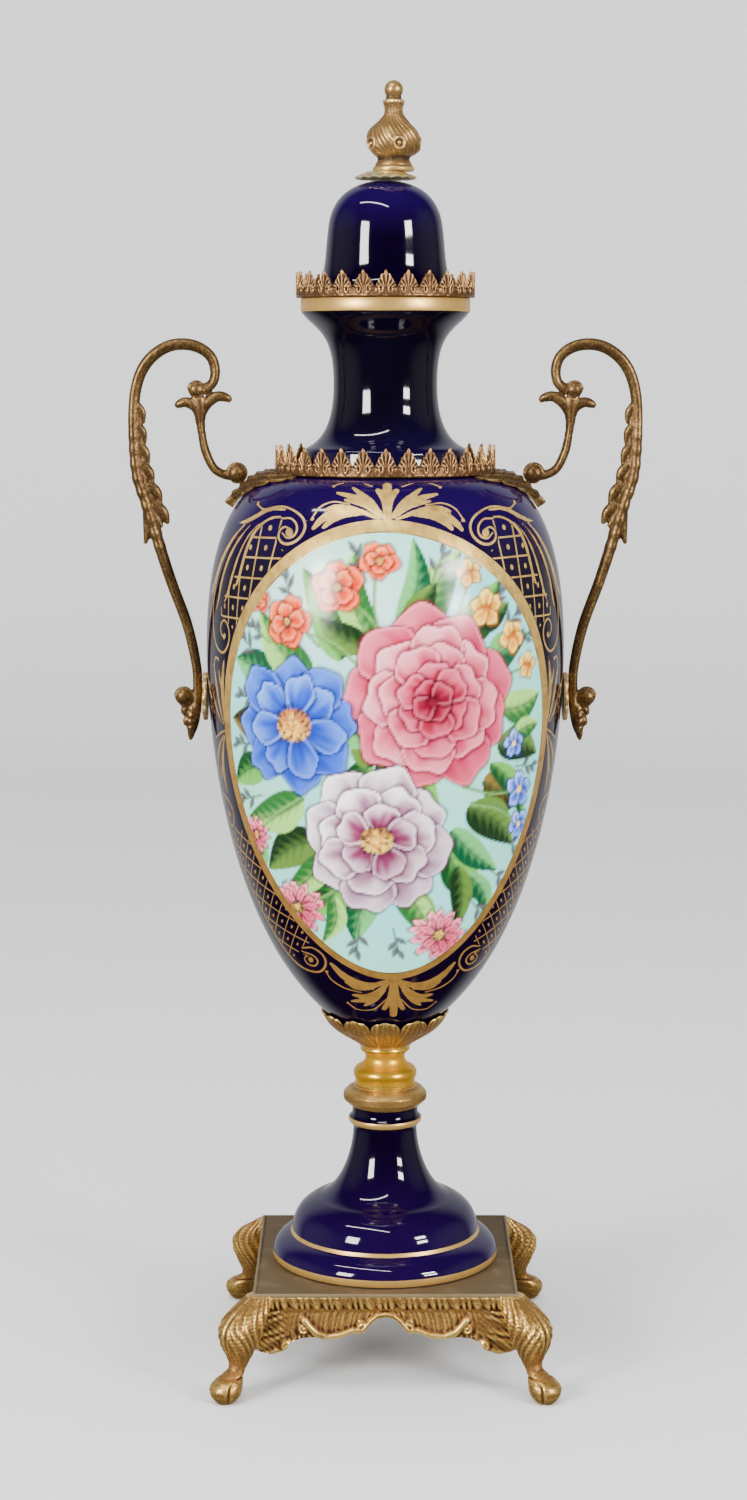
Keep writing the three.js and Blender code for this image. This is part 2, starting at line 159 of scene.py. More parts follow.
def inset(points: Sequence[Pair], wall: float) -> list[Pair]:
    """Shifts a profile towards the axis.

    Args:
        points: The profile, which runs upwards.
        wall: The thickness of the wall that the shift leaves.

    Returns:
        The shifted profile, which never crosses the axis.
    """
    path = np.array(points, float)
    along = np.gradient(path, axis=0)
    along /= np.hypot(*along.T)[:, None]
    shifted = path + wall * np.stack([-along[:, 1], along[:, 0]], axis=1)
    return [(max(float(radius), 0.0), float(height)) for radius, height in shifted]


class Strand:
    """A smooth curve through stops, each a place and sizes that change along it."""

    def __init__(self, stops: Stops) -> None:
        """Keeps the stops and the share of the length at each of them."""
        self.stops = np.array(stops, float)
        gaps = np.linalg.norm(np.diff(self.stops[:, :2], axis=0), axis=1)
        self.shares = np.concatenate([[0.0], np.cumsum(gaps)]) / gaps.sum()

    def at(self, share: float) -> np.ndarray:
        """Reads the curve between its stops.

        Args:
            share: Share of the length, from 0 to 1.

        Returns:
            The interpolated stop.
        """
        last = len(self.stops) - 1
        index = int(np.clip(np.searchsorted(self.shares, share) - 1, 0, last - 1))
        low, high = self.shares[index], self.shares[index + 1]
        t = (share - low) / (high - low)
        before = self.slope(index) * (high - low)
        after = self.slope(index + 1) * (high - low)
        a, b = self.stops[index], self.stops[index + 1]
        return (
            (2 * t**3 - 3 * t**2 + 1) * a
            + (t**3 - 2 * t**2 + t) * before
            + (3 * t**2 - 2 * t**3) * b
            + (t**3 - t**2) * after
        )

    def slope(self, index: int) -> np.ndarray:
        """Returns how fast the stop changes with the share of the length at one stop."""
        low, high = max(index - 1, 0), min(index + 1, len(self.stops) - 1)
        return (self.stops[high] - self.stops[low]) / (self.shares[high] - self.shares[low])


# ---- meshes


def spin(profile: Sequence[Pair], steps: int, closed: bool = False) -> Shape:
    """Turns a profile of (radius, height) points about the Z axis.

    Args:
        profile: Points in order; it starts and ends on the axis unless it is closed.
        steps: Number of steps in the full turn.
        closed: Whether the last point joins the first.

    Returns:
        The merged mesh with its faces outwards.
    """
    shape = bmesh.new()
    verts = [shape.verts.new((0.0, -radius, height)) for radius, height in profile]
    pairs = list(zip(verts, verts[1:])) + ([(verts[-1], verts[0])] if closed else [])
    edges = [shape.edges.new(pair) for pair in pairs if any(vert.co.y < -1e-6 for vert in pair)]
    bmesh.ops.spin(
        shape, geom=verts + edges, cent=(0, 0, 0), axis=(0, 0, 1), dvec=(0, 0, 0), angle=TURN, steps=steps,
        use_merge=True, use_duplicate=False,
    )
    return tidied(shape)


def sheet(columns: int, rows: int, place: Callable[[float, float], Triple]) -> Shape:
    """Bends a flat grid into shape.

    Args:
        columns: Number of cells across.
        rows: Number of cells along.
        place: Gives a vertex its place from its share across and along, each 0 to 1.

    Returns:
        The bent grid, not yet merged.
    """
    shape = bmesh.new()
    bmesh.ops.create_grid(shape, x_segments=columns, y_segments=rows, size=0.5)
    for vert in shape.verts:
        vert.co = place(vert.co.x + 0.5, vert.co.y + 0.5)
    return shape


def tube(columns: int, rows: int, place: Callable[[float, float], Triple]) -> Shape:
    """Bends a grid into a closed tube with capped ends.

    Args:
        columns: Number of cells round the tube.
        rows: Number of cells along it.
        place: Gives a vertex its place from its share round and along, each 0 to 1.

    Returns:
        The merged tube with its faces outwards.
    """
    shape = sheet(columns, rows, lambda around, along: place(around if around < SEAM else 0.0, along))
    bmesh.ops.remove_doubles(shape, verts=shape.verts, dist=MERGE)
    rims = [edge for edge in shape.edges if edge.is_boundary]
    bmesh.ops.holes_fill(shape, edges=rims, sides=0)
    return tidied(shape)


def ball(centre: Triple, radius: float, squash: Triple) -> Shape:
    """Makes a round knob.

    Args:
        centre: Its middle.
        radius: Its radius.
        squash: What its width along each axis is multiplied by.

    Returns:
        The closed mesh.
    """
    shape = bmesh.new()
    bmesh.ops.create_uvsphere(shape, u_segments=28, v_segments=18, radius=radius)
    bmesh.ops.scale(shape, vec=squash, verts=shape.verts)
    bmesh.ops.translate(shape, vec=centre, verts=shape.verts)
    return shape


def tidied(shape: Shape) -> Shape:
    """Merges a mesh's doubles, points its faces outwards and returns it.

    Args:
        shape: The mesh, which is changed.

    Returns:
        The same mesh.
    """
    bmesh.ops.remove_doubles(shape, verts=shape.verts, dist=MERGE)
    bmesh.ops.dissolve_degenerate(shape, edges=shape.edges, dist=SPECK)
    bmesh.ops.recalc_face_normals(shape, faces=shape.faces)
    return shape


def together(*shapes: Shape) -> Shape:
    """Puts several shells in one mesh, which is the first of them, and returns it.

    Args:
        *shapes: The shells; all but the first are freed.

    Returns:
        The first of them, with all in it.
    """
    whole = shapes[0]
    for shape in shapes[1:]:
        keeper = bpy.data.meshes.new("part")
        shape.to_mesh(keeper)
        whole.from_mesh(keeper)
        bpy.data.meshes.remove(keeper)
        shape.free()
    return whole


def turned(shape: Shape, angle: float, axis: str = "Z") -> Shape:
    """Returns a copy of the mesh turned about an axis through the origin.

    Args:
        shape: The mesh.
        angle: The angle in radians.
        axis: Name of the axis.

    Returns:
        The copy.
    """
    copy = shape.copy()
    bmesh.ops.rotate(copy, cent=(0, 0, 0), matrix=Matrix.Rotation(angle, 3, axis), verts=copy.verts)
    return copy


def mirrored(shape: Shape) -> Shape:
    """Returns a copy of the mesh mirrored left to right, with its faces outwards again.

    Args:
        shape: The mesh.

    Returns:
        The copy.
    """
    copy = shape.copy()
    bmesh.ops.scale(copy, vec=(-1, 1, 1), verts=copy.verts)
    bmesh.ops.reverse_faces(copy, faces=copy.faces)
    return copy


def carved(shape: Shape, rule: Callable[[float, float, float], Pair]) -> Shape:
    """Moves each vertex within its own half plane through the axis.

    Args:
        shape: The mesh, which is changed.
        rule: Gives a new radius and height from the angle, the radius and the height.

    Returns:
        The mesh.
    """
    for vert in shape.verts:
        x, y, z = vert.co
        angle = math.atan2(x, -y)
        radius, height = rule(angle, math.hypot(x, y), z)
        vert.co = (radius * math.sin(angle), -radius * math.cos(angle), height)
    return shape


def fused(shape: Shape, voxel: float, passes: int = 2) -> Shape:
    """Melts overlapping shells into one skin, as metal flows in a mould.

    Args:
        shape: Closed shells that overlap, in millimetres.
        voxel: Size of the cells of the new skin.
        passes: Rounds of smoothing afterwards.

    Returns:
        One closed skin.
    """
    data = bpy.data.meshes.new("fusing")
    shape.to_mesh(data)
    shape.free()
    carrier = bpy.data.objects.new("fusing", data)
    bpy.context.scene.collection.objects.link(carrier)
    remesh = carrier.modifiers.new("skin", "REMESH")
    remesh.mode = "VOXEL"
    remesh.voxel_size = voxel
    evaluated = carrier.evaluated_get(bpy.context.evaluated_depsgraph_get())
    melted = bmesh.new()
    melted.from_mesh(evaluated.to_mesh())
    evaluated.to_mesh_clear()
    bpy.data.objects.remove(carrier)
    bpy.data.meshes.remove(data)
    for _ in range(passes):
        bmesh.ops.smooth_vert(
            melted, verts=melted.verts, factor=0.5, use_axis_x=True, use_axis_y=True, use_axis_z=True
        )
    return melted


def relief_of(data: bpy.types.Mesh, reach: int) -> None:
    """Stores how far each vertex stands above its surroundings, in millimetres, as "relief".

    Args:
        data: The mesh, in metres.
        reach: Rounds in which a place takes on the middle of its neighbours.
    """
    count = len(data.vertices)
    place = np.empty(count * 3)
    data.vertices.foreach_get("co", place)
    place = place.reshape(-1, 3) / MM
    ends = np.empty(len(data.edges) * 2, int)
    data.edges.foreach_get("vertices", ends)
    ends = ends.reshape(-1, 2)
    links = np.bincount(ends.ravel(), minlength=count).clip(1)[:, None]
    soft = place.copy()
    for _ in range(reach):
        total = np.zeros_like(soft)
        for axis in range(3):
            total[:, axis] = np.bincount(ends[:, 0], soft[ends[:, 1], axis], count)
            total[:, axis] += np.bincount(ends[:, 1], soft[ends[:, 0], axis], count)
        soft = 0.5 * soft + 0.5 * total / links
    normals = np.empty(count * 3)
    data.vertices.foreach_get("normal", normals)
    height = ((place - soft) * normals.reshape(-1, 3)).sum(axis=1)
    layer = data.attributes.new("relief", "FLOAT", "POINT")
    layer.data.foreach_set("value", height.astype(np.float32))


def finished(
    shape: Shape, name: str, nodes: Sequence[str], slot: Slot, material: Material,
    crease: float = 60.0, relief: int = 0,
) -> bpy.types.Object:
    """Makes a mesh a piece of the urn.

    Args:
        shape: The mesh in millimetres; it is freed.
        name: The piece's name.
        nodes: The CAD nodes that it stands for.
        slot: The record's material slot that its finish belongs to; not used.
        material: Its finish.
        crease: Edges that turn more than this many degrees stay sharp.
        relief: Rounds of spreading behind the "relief" attribute, or 0 for none.

    Returns:
        The object, riding on the urn's one body.
    """
    bmesh.ops.scale(shape, vec=(MM, MM, MM), verts=shape.verts)
    for face in shape.faces:
        face.smooth = True
    limit = math.radians(crease)
    for edge in shape.edges:
        edge.smooth = edge.calc_face_angle(0.0) < limit
    data = bpy.data.meshes.new(name)
    shape.to_mesh(data)
    shape.free()
    if relief:
        relief_of(data, relief)
    piece = bpy.data.objects.new(name, data)
    bpy.context.scene.collection.objects.link(piece)
    data.materials.append(material)
    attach(piece, ROOT)
    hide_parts(*nodes)
    triangles = sum(len(polygon.vertices) - 2 for polygon in data.polygons)
    LOG.info("%s: %d triangles, stands for %s", name, triangles, ", ".join(nodes))
    return piece


# ---- shader words


class Wire:
    """A number inside a node tree, which Python's own signs reckon with."""

    def __init__(self, nodes: "Nodes", socket: bpy.types.NodeSocket) -> None:
        """Keeps the tree that it belongs to and the socket that gives it."""
        self.nodes = nodes
        self.socket = socket

    def __add__(self, other: "Wire | float") -> "Wire":
        """Adds."""
        return self.nodes.maths("ADD", self, other)

    __radd__ = __add__

    def __sub__(self, other: "Wire | float") -> "Wire":
        """Subtracts."""
        return self.nodes.maths("SUBTRACT", self, other)

    def __rsub__(self, other: float) -> "Wire":
        """Is subtracted."""
        return self.nodes.maths("SUBTRACT", other, self)

    def __mul__(self, other: "Wire | float") -> "Wire":
        """Multiplies."""
        return self.nodes.maths("MULTIPLY", self, other)

    __rmul__ = __mul__

    def __truediv__(self, other: "Wire | float") -> "Wire":
        """Divides."""
        return self.nodes.maths("DIVIDE", self, other)

    def __abs__(self) -> "Wire":
        """Loses its sign."""
        return self.nodes.maths("ABSOLUTE", self)


class Nodes:
    """A node tree under construction."""

    def __init__(self, tree: bpy.types.NodeTree) -> None:
        """Keeps the tree."""
        self.tree = tree

    def node(
        self, kind: str, values: dict[str | int, object], output: str | int = 0, **settings: object
    ) -> Wire:
        """Adds a node.

        Args:
            kind: The node's type.
            values: Values or wires by the name or number of the socket.
            output: Name or number of the socket that is returned.
            **settings: The node's own settings, which are set first.

        Returns:
            The chosen output.
        """
        made = self.tree.nodes.new(kind)
        for key, value in settings.items():
            setattr(made, key, value)
        for key, value in values.items():
            self.feed(made.inputs[key], value)
        return Wire(self, made.outputs[output])

    def feed(self, socket: bpy.types.NodeSocket, value: object) -> None:
        """Links a wire to a socket, or sets the socket's own value.

        Args:
            socket: The input.
            value: The wire or the value.
        """
        if isinstance(value, Wire):
            self.tree.links.new(value.socket, socket)
        else:
            socket.default_value = value

    def maths(self, operation: str, *values: Wire | float) -> Wire:
        """Adds a Math node."""
        return self.node("ShaderNodeMath", dict(enumerate(values)), operation=operation)

    def most(self, first: Wire, second: Wire) -> Wire:
        """Gives the larger of two numbers."""
        return self.maths("MAXIMUM", first, second)

    def step(self, value: Wire, low: float, high: float, bottom: float = 0.0, top: float = 1.0) -> Wire:
        """Goes smoothly from bottom at low to top at high; low may be the larger."""
        values = {"Value": value, "From Min": low, "From Max": high, "To Min": bottom, "To Max": top}
        return self.node("ShaderNodeMapRange", values, interpolation_type="SMOOTHSTEP")

    def split(self, vector: Wire) -> list[Wire]:
        """Takes a vector apart."""
        first = self.node("ShaderNodeSeparateXYZ", {"Vector": vector}, "X")
        return [first] + [Wire(self, first.socket.node.outputs[axis]) for axis in ("Y", "Z")]


class Shader(Nodes):
    """One material under construction."""

    def __init__(self, name: str) -> None:
        """Starts a material that has a Principled surface and nothing else."""
        self.material = bpy.data.materials.new(name)
        self.material.use_nodes = True
        super().__init__(self.material.node_tree)
        self.surface = self.tree.nodes["Principled BSDF"]

    def mix(self, share: Wire | float, first: Wire | Colour, second: Wire | Colour) -> Wire:
        """Mixes two colours."""
        sides = [value if isinstance(value, Wire) else (*value, 1) for value in (first, second)]
        return self.node("ShaderNodeMix", {0: share, 6: sides[0], 7: sides[1]}, 2, data_type="RGBA")

    def height(self) -> Wire:
        """Gives the height on the urn in millimetres."""
        return self.split(self.place())[2] / MM

    def place(self) -> Wire:
        """Gives the place on the object, in metres."""
        return self.node("ShaderNodeTexCoord", {}, "Object")

    def noise(self, size: float, detail: float = 2.0, lean: float = 0.0) -> Wire:
        """Gives soft noise from 0 to 1.

        Args:
            size: Size of a patch in millimetres.
            detail: Octaves of finer noise.
            lean: How much it wanders from itself.

        Returns:
            The noise.
        """
        values = {"Vector": self.place(), "Scale": 1 / (size * MM), "Detail": detail, "Distortion": lean}
        return self.node("ShaderNodeTexNoise", values, "Fac")

    def attribute(self, name: str, output: str = "Fac") -> Wire:
        """Reads an attribute of the mesh."""
        return self.node("ShaderNodeAttribute", {}, output, attribute_name=name)

    def set(self, **values: Wire | float | Colour) -> None:
        """Sets sockets of the surface; an underscore in a name stands for a space."""
        for key, value in values.items():
            if isinstance(value, tuple):
                value = (*value, 1)
            self.feed(self.surface.inputs[key.replace("_", " ")], value)

    def bump(self, height: Wire, depth: float) -> None:
        """Raises the surface by a height from 0 to 1 that stands for depth millimetres."""
        values = {"Height": height, "Distance": depth * MM, "Strength": 1.0}
        self.set(Normal=self.node("ShaderNodeBump", values, "Normal"))


def srgb(red: int, green: int, blue: int) -> Colour:
    """Turns a colour of 0 to 255 as screens show it into a linear one."""
    shares = [channel / 255 for channel in (red, green, blue)]
    return tuple(s / 12.92 if s <= 0.04045 else ((s + 0.055) / 1.055) ** 2.4 for s in shares)


# ---- finishes


@dataclass(frozen=True)
class AgedBrass:
    """Cast gilt brass: worn bright on the crests, brown in the recesses.

    Reach is the relief, in millimetres, that tells a crest from a recess. Pits is the depth of its grain
    in millimetres. Flecks and mottle are how strongly small spots and the level of wear vary.
    """

    name: str
    recess: Colour = srgb(66, 42, 24)
    middle: Colour = srgb(158, 118, 66)
    crest: Colour = srgb(232, 192, 118)
    red: Colour = srgb(150, 92, 56)
    reach: float = 0.35
    roughness: float = 0.36
    metallic: float = 0.82
    pits: float = 0.12
    flecks: float = 0.4
    mottle: float = 1.3

    def make(self) -> Material:
        """Returns the material; it reads the piece's own relief in millimetres."""
        shader = Shader(self.name)
        relief = shader.attribute("relief")
        wear = shader.noise(9.0, 4.0)
        speckle = shader.noise(1.1, 4.0)
        level = relief / self.reach + (wear - 0.5) * 0.8 + (speckle - 0.5) * self.mottle
        colour = shader.mix(shader.step(level, -1.1, -0.1), self.recess, self.middle)
        colour = shader.mix(shader.step(level, 0.0, 1.15), colour, self.crest)
        blush = shader.step(shader.noise(14.0, 3.0, lean=0.4), 0.52, 0.72) * 0.5
        colour = shader.mix(blush, colour, self.red)
        fleck = shader.noise(0.9, 4.0, lean=0.5)
        bright = shader.step(fleck, 0.52, 0.64) * shader.step(level, -0.8, 0.2) * self.flecks
        colour = shader.mix(bright, colour, self.crest)
        colour = shader.mix(shader.step(fleck, 0.46, 0.36) * self.flecks * 0.8, colour, self.recess)
        dull = shader.step(level, 0.3, -0.9)
        shader.set(
            Base_Color=colour, Metallic=self.metallic - dull * 0.25,
            Roughness=self.roughness + dull * 0.25 + (speckle - 0.5) * 0.16,
        )
        shader.bump(shader.noise(0.55, 3.0) * 0.6 + shader.noise(1.6) * 0.4, self.pits)
        return shader.material


@dataclass(frozen=True)
class Cobalt:
    """Glossy cobalt glaze with bands of burnished gold, each between two heights in millimetres.

    Painted light holds the heights between which the deep blue, painted shade, turns into the brighter blue,
    painted light.
    """

    name: str
    blue: Colour
    deep: Colour
    painted_light: Pair
    bands: tuple[Pair, ...] = ()
    gold: Colour = srgb(222, 178, 98)
    roughness: float = 0.06
    soft: float = 0.09

    def make(self) -> Material:
        """Returns the material."""
        shader = Shader(self.name)
        height = shader.height()
        cloud = (shader.noise(26.0) - 0.5) * 0.5
        # painted shade and light: deep blue at some heights, brighter blue at others, with soft random clouds
        # between
        glaze = shader.mix(shader.step(height, *self.painted_light) + cloud, self.deep, self.blue)
        waver = (shader.noise(11.0) - 0.5) * 0.35
        band = None
        for low, high in self.bands:
            middle, half = (low + high) / 2, (high - low) / 2
            one = shader.step(abs(height + waver - middle), half + self.soft, half - self.soft)
            band = one if band is None else shader.most(band, one)
        if band is None:
            shader.set(Base_Color=glaze, Roughness=self.roughness)
        else:
            rub = shader.noise(3.0, 4.0, lean=0.3)
            gold = shader.mix(rub * 0.4, self.gold, tuple(channel * 0.62 for channel in self.gold))
            shader.set(
                Base_Color=shader.mix(band, glaze, gold), Metallic=band * 0.7,
                Roughness=self.roughness + band * (0.22 + rub * 0.16),
            )
        shader.bump(shader.noise(7.0, 1.0), 0.02)
        shader.set(IOR=1.52)
        return shader.material


# ---- the plinth


def along_polyline(points: np.ndarray, x: float, z: float) -> Pair:
    """Returns how far a place is from a polyline, and the share of its length at the nearest point.

    Args:
        points: The polyline.
        x: The place's first number.
        z: Its second number.

    Returns:
        The distance and the share.
    """
    starts, ends = points[:-1], points[1:]
    runs = ends - starts
    lengths = np.hypot(*runs.T)
    share = np.clip(((np.array([x, z]) - starts) * runs).sum(axis=1) / lengths**2, 0, 1)
    gaps = np.hypot(*(starts + runs * share[:, None] - (x, z)).T)
    best = int(gaps.argmin())
    travelled = lengths[:best].sum() + lengths[best] * share[best]
    return float(gaps[best]), float(travelled / lengths.sum())


def lifted(base: float, *points: Pair) -> list[Pair]:
    """Returns profile points whose heights were given above a base."""
    return [(radius, base + height) for radius, height in points]


@dataclass
class Plinth:
    """Square plate on four relief aprons and four cabriole legs with cleft ball feet.

    Edge and scroll are the right half of the apron's lower edge and of the moulding above it. Each coil
    is a place, a size and the way it winds. Each station of a leg is a height, how far its middle lies
    from the axes, and half its thickness.
    """

    plate_half: float = 61.2
    plate_top: float = field(default_factory=lambda: levels("plinth")[1])
    plate_thickness: float = 1.8
    cornice_half: float = 60.4
    cornice_bottom: float = 38.2
    gadroons: int = 17
    apron_face: float = 59.6
    apron_wall: float = 4.2
    apron_end: float = 59.0
    front_share: float = 0.72
    apron_rows: int = 61
    cell: float = 0.6
    leg_top: float = 46.0
    leg_sides: int = 112
    leg_rows: int = 92
    edge: tuple[Pair, ...] = (
        (0, 35.5), (4, 34.6), (7.6, 31.4), (10.5, 27.6), (15, 28.0), (20.5, 25.6), (27, 24.8), (33, 26.0),
        (39, 25.6), (43.5, 23.6), (46, 19.8), (52.5, 17.8), (59, 19.2),
    )
    scroll: tuple[Pair, ...] = (
        (0.0, 36.9), (3.6, 36.2), (6.6, 33.8), (8.6, 31.0), (11.0, 28.9), (15.2, 29.2), (20.8, 27.0),
        (27.0, 26.2), (32.2, 28.2), (35.6, 31.6), (37.4, 34.2),
    )
    coils: tuple[tuple[float, float, float, int], ...] = (
        (10.2, 30.6, 2.7, 1), (37.6, 30.0, 2.2, -1), (45.6, 22.4, 2.3, 1),
    )
    stations: tuple[Triple, ...] = (
        (46, 57.4, 5.6), (43, 60.2, 7.6), (40, 63.2, 9.2), (34, 66.4, 10.3), (28, 67.2, 9.4),
        (22, 67.4, 6.7), (17.5, 67.3, 4.7), (14.2, 68.4, 4.0), (12.2, 70.2, 4.9), (10.4, 71.8, 6.6),
        (8.6, 72.8, 7.5), (6.4, 73.2, 7.75), (3.6, 73.3, 7.0), (1.4, 73.4, 5.4), (0, 73.6, 3.6),
    )

    def lower_edge(self, x: float) -> float:
        """Returns the height of the apron's lower edge at a distance from the middle."""
        return float(np.interp(abs(x), *zip(*self.edge)))

    def gadroon(self, x: float, z: float) -> float:
        """Returns the relief of the cornice's hanging lobes, in millimetres.

        Args:
            x: Distance from the middle of the side.
            z: Height.

        Returns:
            The relief.
        """
        pitch = 2 * self.cornice_half / self.gadroons
        share = (z - self.cornice_bottom) / (self.plate_top - 1 - self.cornice_bottom)
        half = math.remainder((x + 0.9 * math.sin(0.5 * x) + 0.25 * (z - 42)) / (pitch * 0.5), 1.0) * 2
        hang = smooth(0.02, 0.3, share - (0.3 + 0.1 * math.sin(x * 0.37)) * abs(half) ** 1.6)
        rib = 0.25 * bump(half, 0, 0.16) - 0.4 * bump(abs(half), 1, 0.22) * smooth(0.95, 0.5, share)
        shadow = 0.5 * bump(share, 0.97, 0.05)
        return -0.5 + 1.7 * hang * (0.7 + 0.3 * (1 - abs(half)) ** 0.5) + rib * hang - shadow

    def relief(self, x: float, z: float) -> float:
        """Returns how far the casting stands out of the apron's face, in millimetres.

        Args:
            x: Distance from the middle of the side.
            z: Height.

        Returns:
            The relief.
        """
        if z > self.cornice_bottom:
            return self.gadroon(x, z)
        side = abs(x)
        bend = 0.5 * math.sin(side * 0.9 + 0.35 * z) + 0.02 * (z - 28) ** 2
        reed = 0.45 * math.cos(TURN * (side + bend) / 2.5) * smooth(46, 41, side)
        height = -0.7 + reed + 0.25 * math.sin(x * 1.9 + z * 2.3) * smooth(38, 50, side)
        gap, _ = along_polyline(np.array(self.scroll), side, z)
        mould = math.sqrt(max(0.0, 1 - (gap / 1.9) ** 2))
        height = max(height, -0.9 + 3.0 * mould - 0.35 * bump(gap, 0.0, 0.45))
        for coil_x, coil_z, size, winding in self.coils:
            away = math.hypot(side - coil_x, z - coil_z)
            if away < size * 1.35:
                turn = math.atan2(z - coil_z, side - coil_x) * winding
                ridge = math.cos(TURN * away / size * 1.1 + turn)
                height = max(height, (1.3 + 0.5 * ridge) * smooth(size * 1.3, size * 0.85, away))
        knee = smooth(44, 52, side)
        if knee > 0:
            vein = math.cos((side - 44) * 0.5 + (z - 18) * 1.35 + 1.2 * math.sin(z * 0.7))
            height += knee * (0.9 + 0.55 * vein)
        low = self.lower_edge(x)
        return height * smooth(low - 0.2, low + 0.9, z)

    def apron(self, turn: float) -> Shape:
        """Makes one side's relief as a closed panel, and turns it to its place.

        Args:
            turn: Angle from its first place, in radians.

        Returns:
            The mesh, in millimetres.
        """
        top = self.plate_top - 0.9

        def section(around: float, along: float) -> Triple:
            """Places a vertex of the panel: its front, then its back."""
            x = (along * 2 - 1) * self.apron_end
            low = self.lower_edge(x)
            if around < self.front_share:
                z = top + (low - top) * around / self.front_share
                return x, -(self.apron_face + self.relief(x, z)), z
            share = (around - self.front_share) / (1 - self.front_share)
            rim = smooth(0, 0.2, share) * (1 - smooth(0.8, 1, share))
            return x, -(self.apron_face - self.apron_wall * rim), low + (top - low) * share

        return turned(tube(self.apron_rows, int(2 * self.apron_end / self.cell), section), turn)

    def leg(self, turn: float) -> Shape:
        """Makes one leg, from the plate to its cleft ball foot.

        Args:
            turn: Angle from its first place, in radians.

        Returns:
            The mesh, in millimetres.
        """
        heights, centres, halves = (np.array(column, float)[::-1] for column in zip(*self.stations))

        def place(around: float, along: float) -> Triple:
            """Places a vertex of the leg."""
            z = self.leg_top * along
            angle = around * TURN
            spread = 0.4 + 2.0 * smooth(14, 21, z)
            near = np.array([z - spread, z, z, z + spread])
            centre, half = (float(np.interp(near, heights, column).mean()) for column in (centres, halves))
            outward = angle - math.pi / 4
            aside = abs(math.remainder(outward, TURN))
            toes = 0.0
            if z < 11.5:
                cleft = abs(math.sin(1.5 * outward + math.pi / 2))
                facing = smooth(-0.3, 0.2, math.cos(outward))
                toes = -0.21 * bump(cleft, 0.0, 0.17) * facing * smooth(11.5, 8.5, z)
            ankle = 0.1 * bump(z, 12.6, 0.5) - 0.12 * bump(z, 11.6, 0.4)
            knee = smooth(15, 21, z)
            spine = 0.07 * bump(aside, 0.16, 0.07) * knee
            spine -= 0.1 * bump(aside, 0.0, 0.07) * knee
            sweep = aside * 15 + 1.15 * z + 1.3 * math.sin(z * 0.35 + 2 * aside)
            leaf = (0.042 * math.cos(sweep) - 0.03) * knee * smooth(0.25, 0.45, aside)
            pebble = 0.02 * math.sin(z * 2.4 + 9 * angle) * math.sin(13 * angle - z * 1.2) * knee
            reach = half * min(0.99 + toes + ankle + spine + leaf + pebble, 1.03)
            reach *= 1 + 0.05 * math.cos(4 * angle) * knee
            return centre + reach * math.cos(angle), centre + reach * math.sin(angle), z

        return turned(tube(self.leg_sides, self.leg_rows, place), turn)

    def plate(self) -> Shape:
        """Makes the plate with its thin raised lip.

        Returns:
            The mesh, in millimetres.
        """
        shape = bmesh.new()
        bmesh.ops.create_cube(shape, size=1)
        size = (2 * self.plate_half, 2 * self.plate_half, self.plate_thickness)
        bmesh.ops.scale(shape, vec=size, verts=shape.verts)
        bmesh.ops.translate(shape, vec=(0, 0, self.plate_top - self.plate_thickness / 2), verts=shape.verts)
        bmesh.ops.bevel(
            shape, geom=shape.edges[:], offset=0.5, segments=3, profile=0.5, affect="EDGES", material=-1,
            offset_type="OFFSET",
        )
        top = max(shape.faces, key=lambda face: face.calc_center_median().z * 10 + face.calc_area())
        bmesh.ops.inset_region(shape, faces=[top], thickness=1.3, depth=0.0)
        bmesh.ops.inset_region(shape, faces=[top], thickness=0.5, depth=-0.45)
        bmesh.ops.subdivide_edges(shape, edges=top.edges[:], cuts=1)
        return shape

    def build(self, finishes: "Finishes") -> None:
        """Builds and dresses the plinth.

        Args:
            finishes: The urn's materials.
        """
        turns = [quarter * math.pi / 2 for quarter in range(4)]
        shape = together(*(self.apron(turn) for turn in turns), *(self.leg(turn) for turn in turns))
        finished(shape, "plinth_mounts", ["plinth"], Slot.BRASS, finishes.base, relief=14)
        finished(self.plate(), "plinth_plate", ["plinth"], Slot.BRASS, finishes.plate, 30, relief=2)


# ---- foot, stem and cup


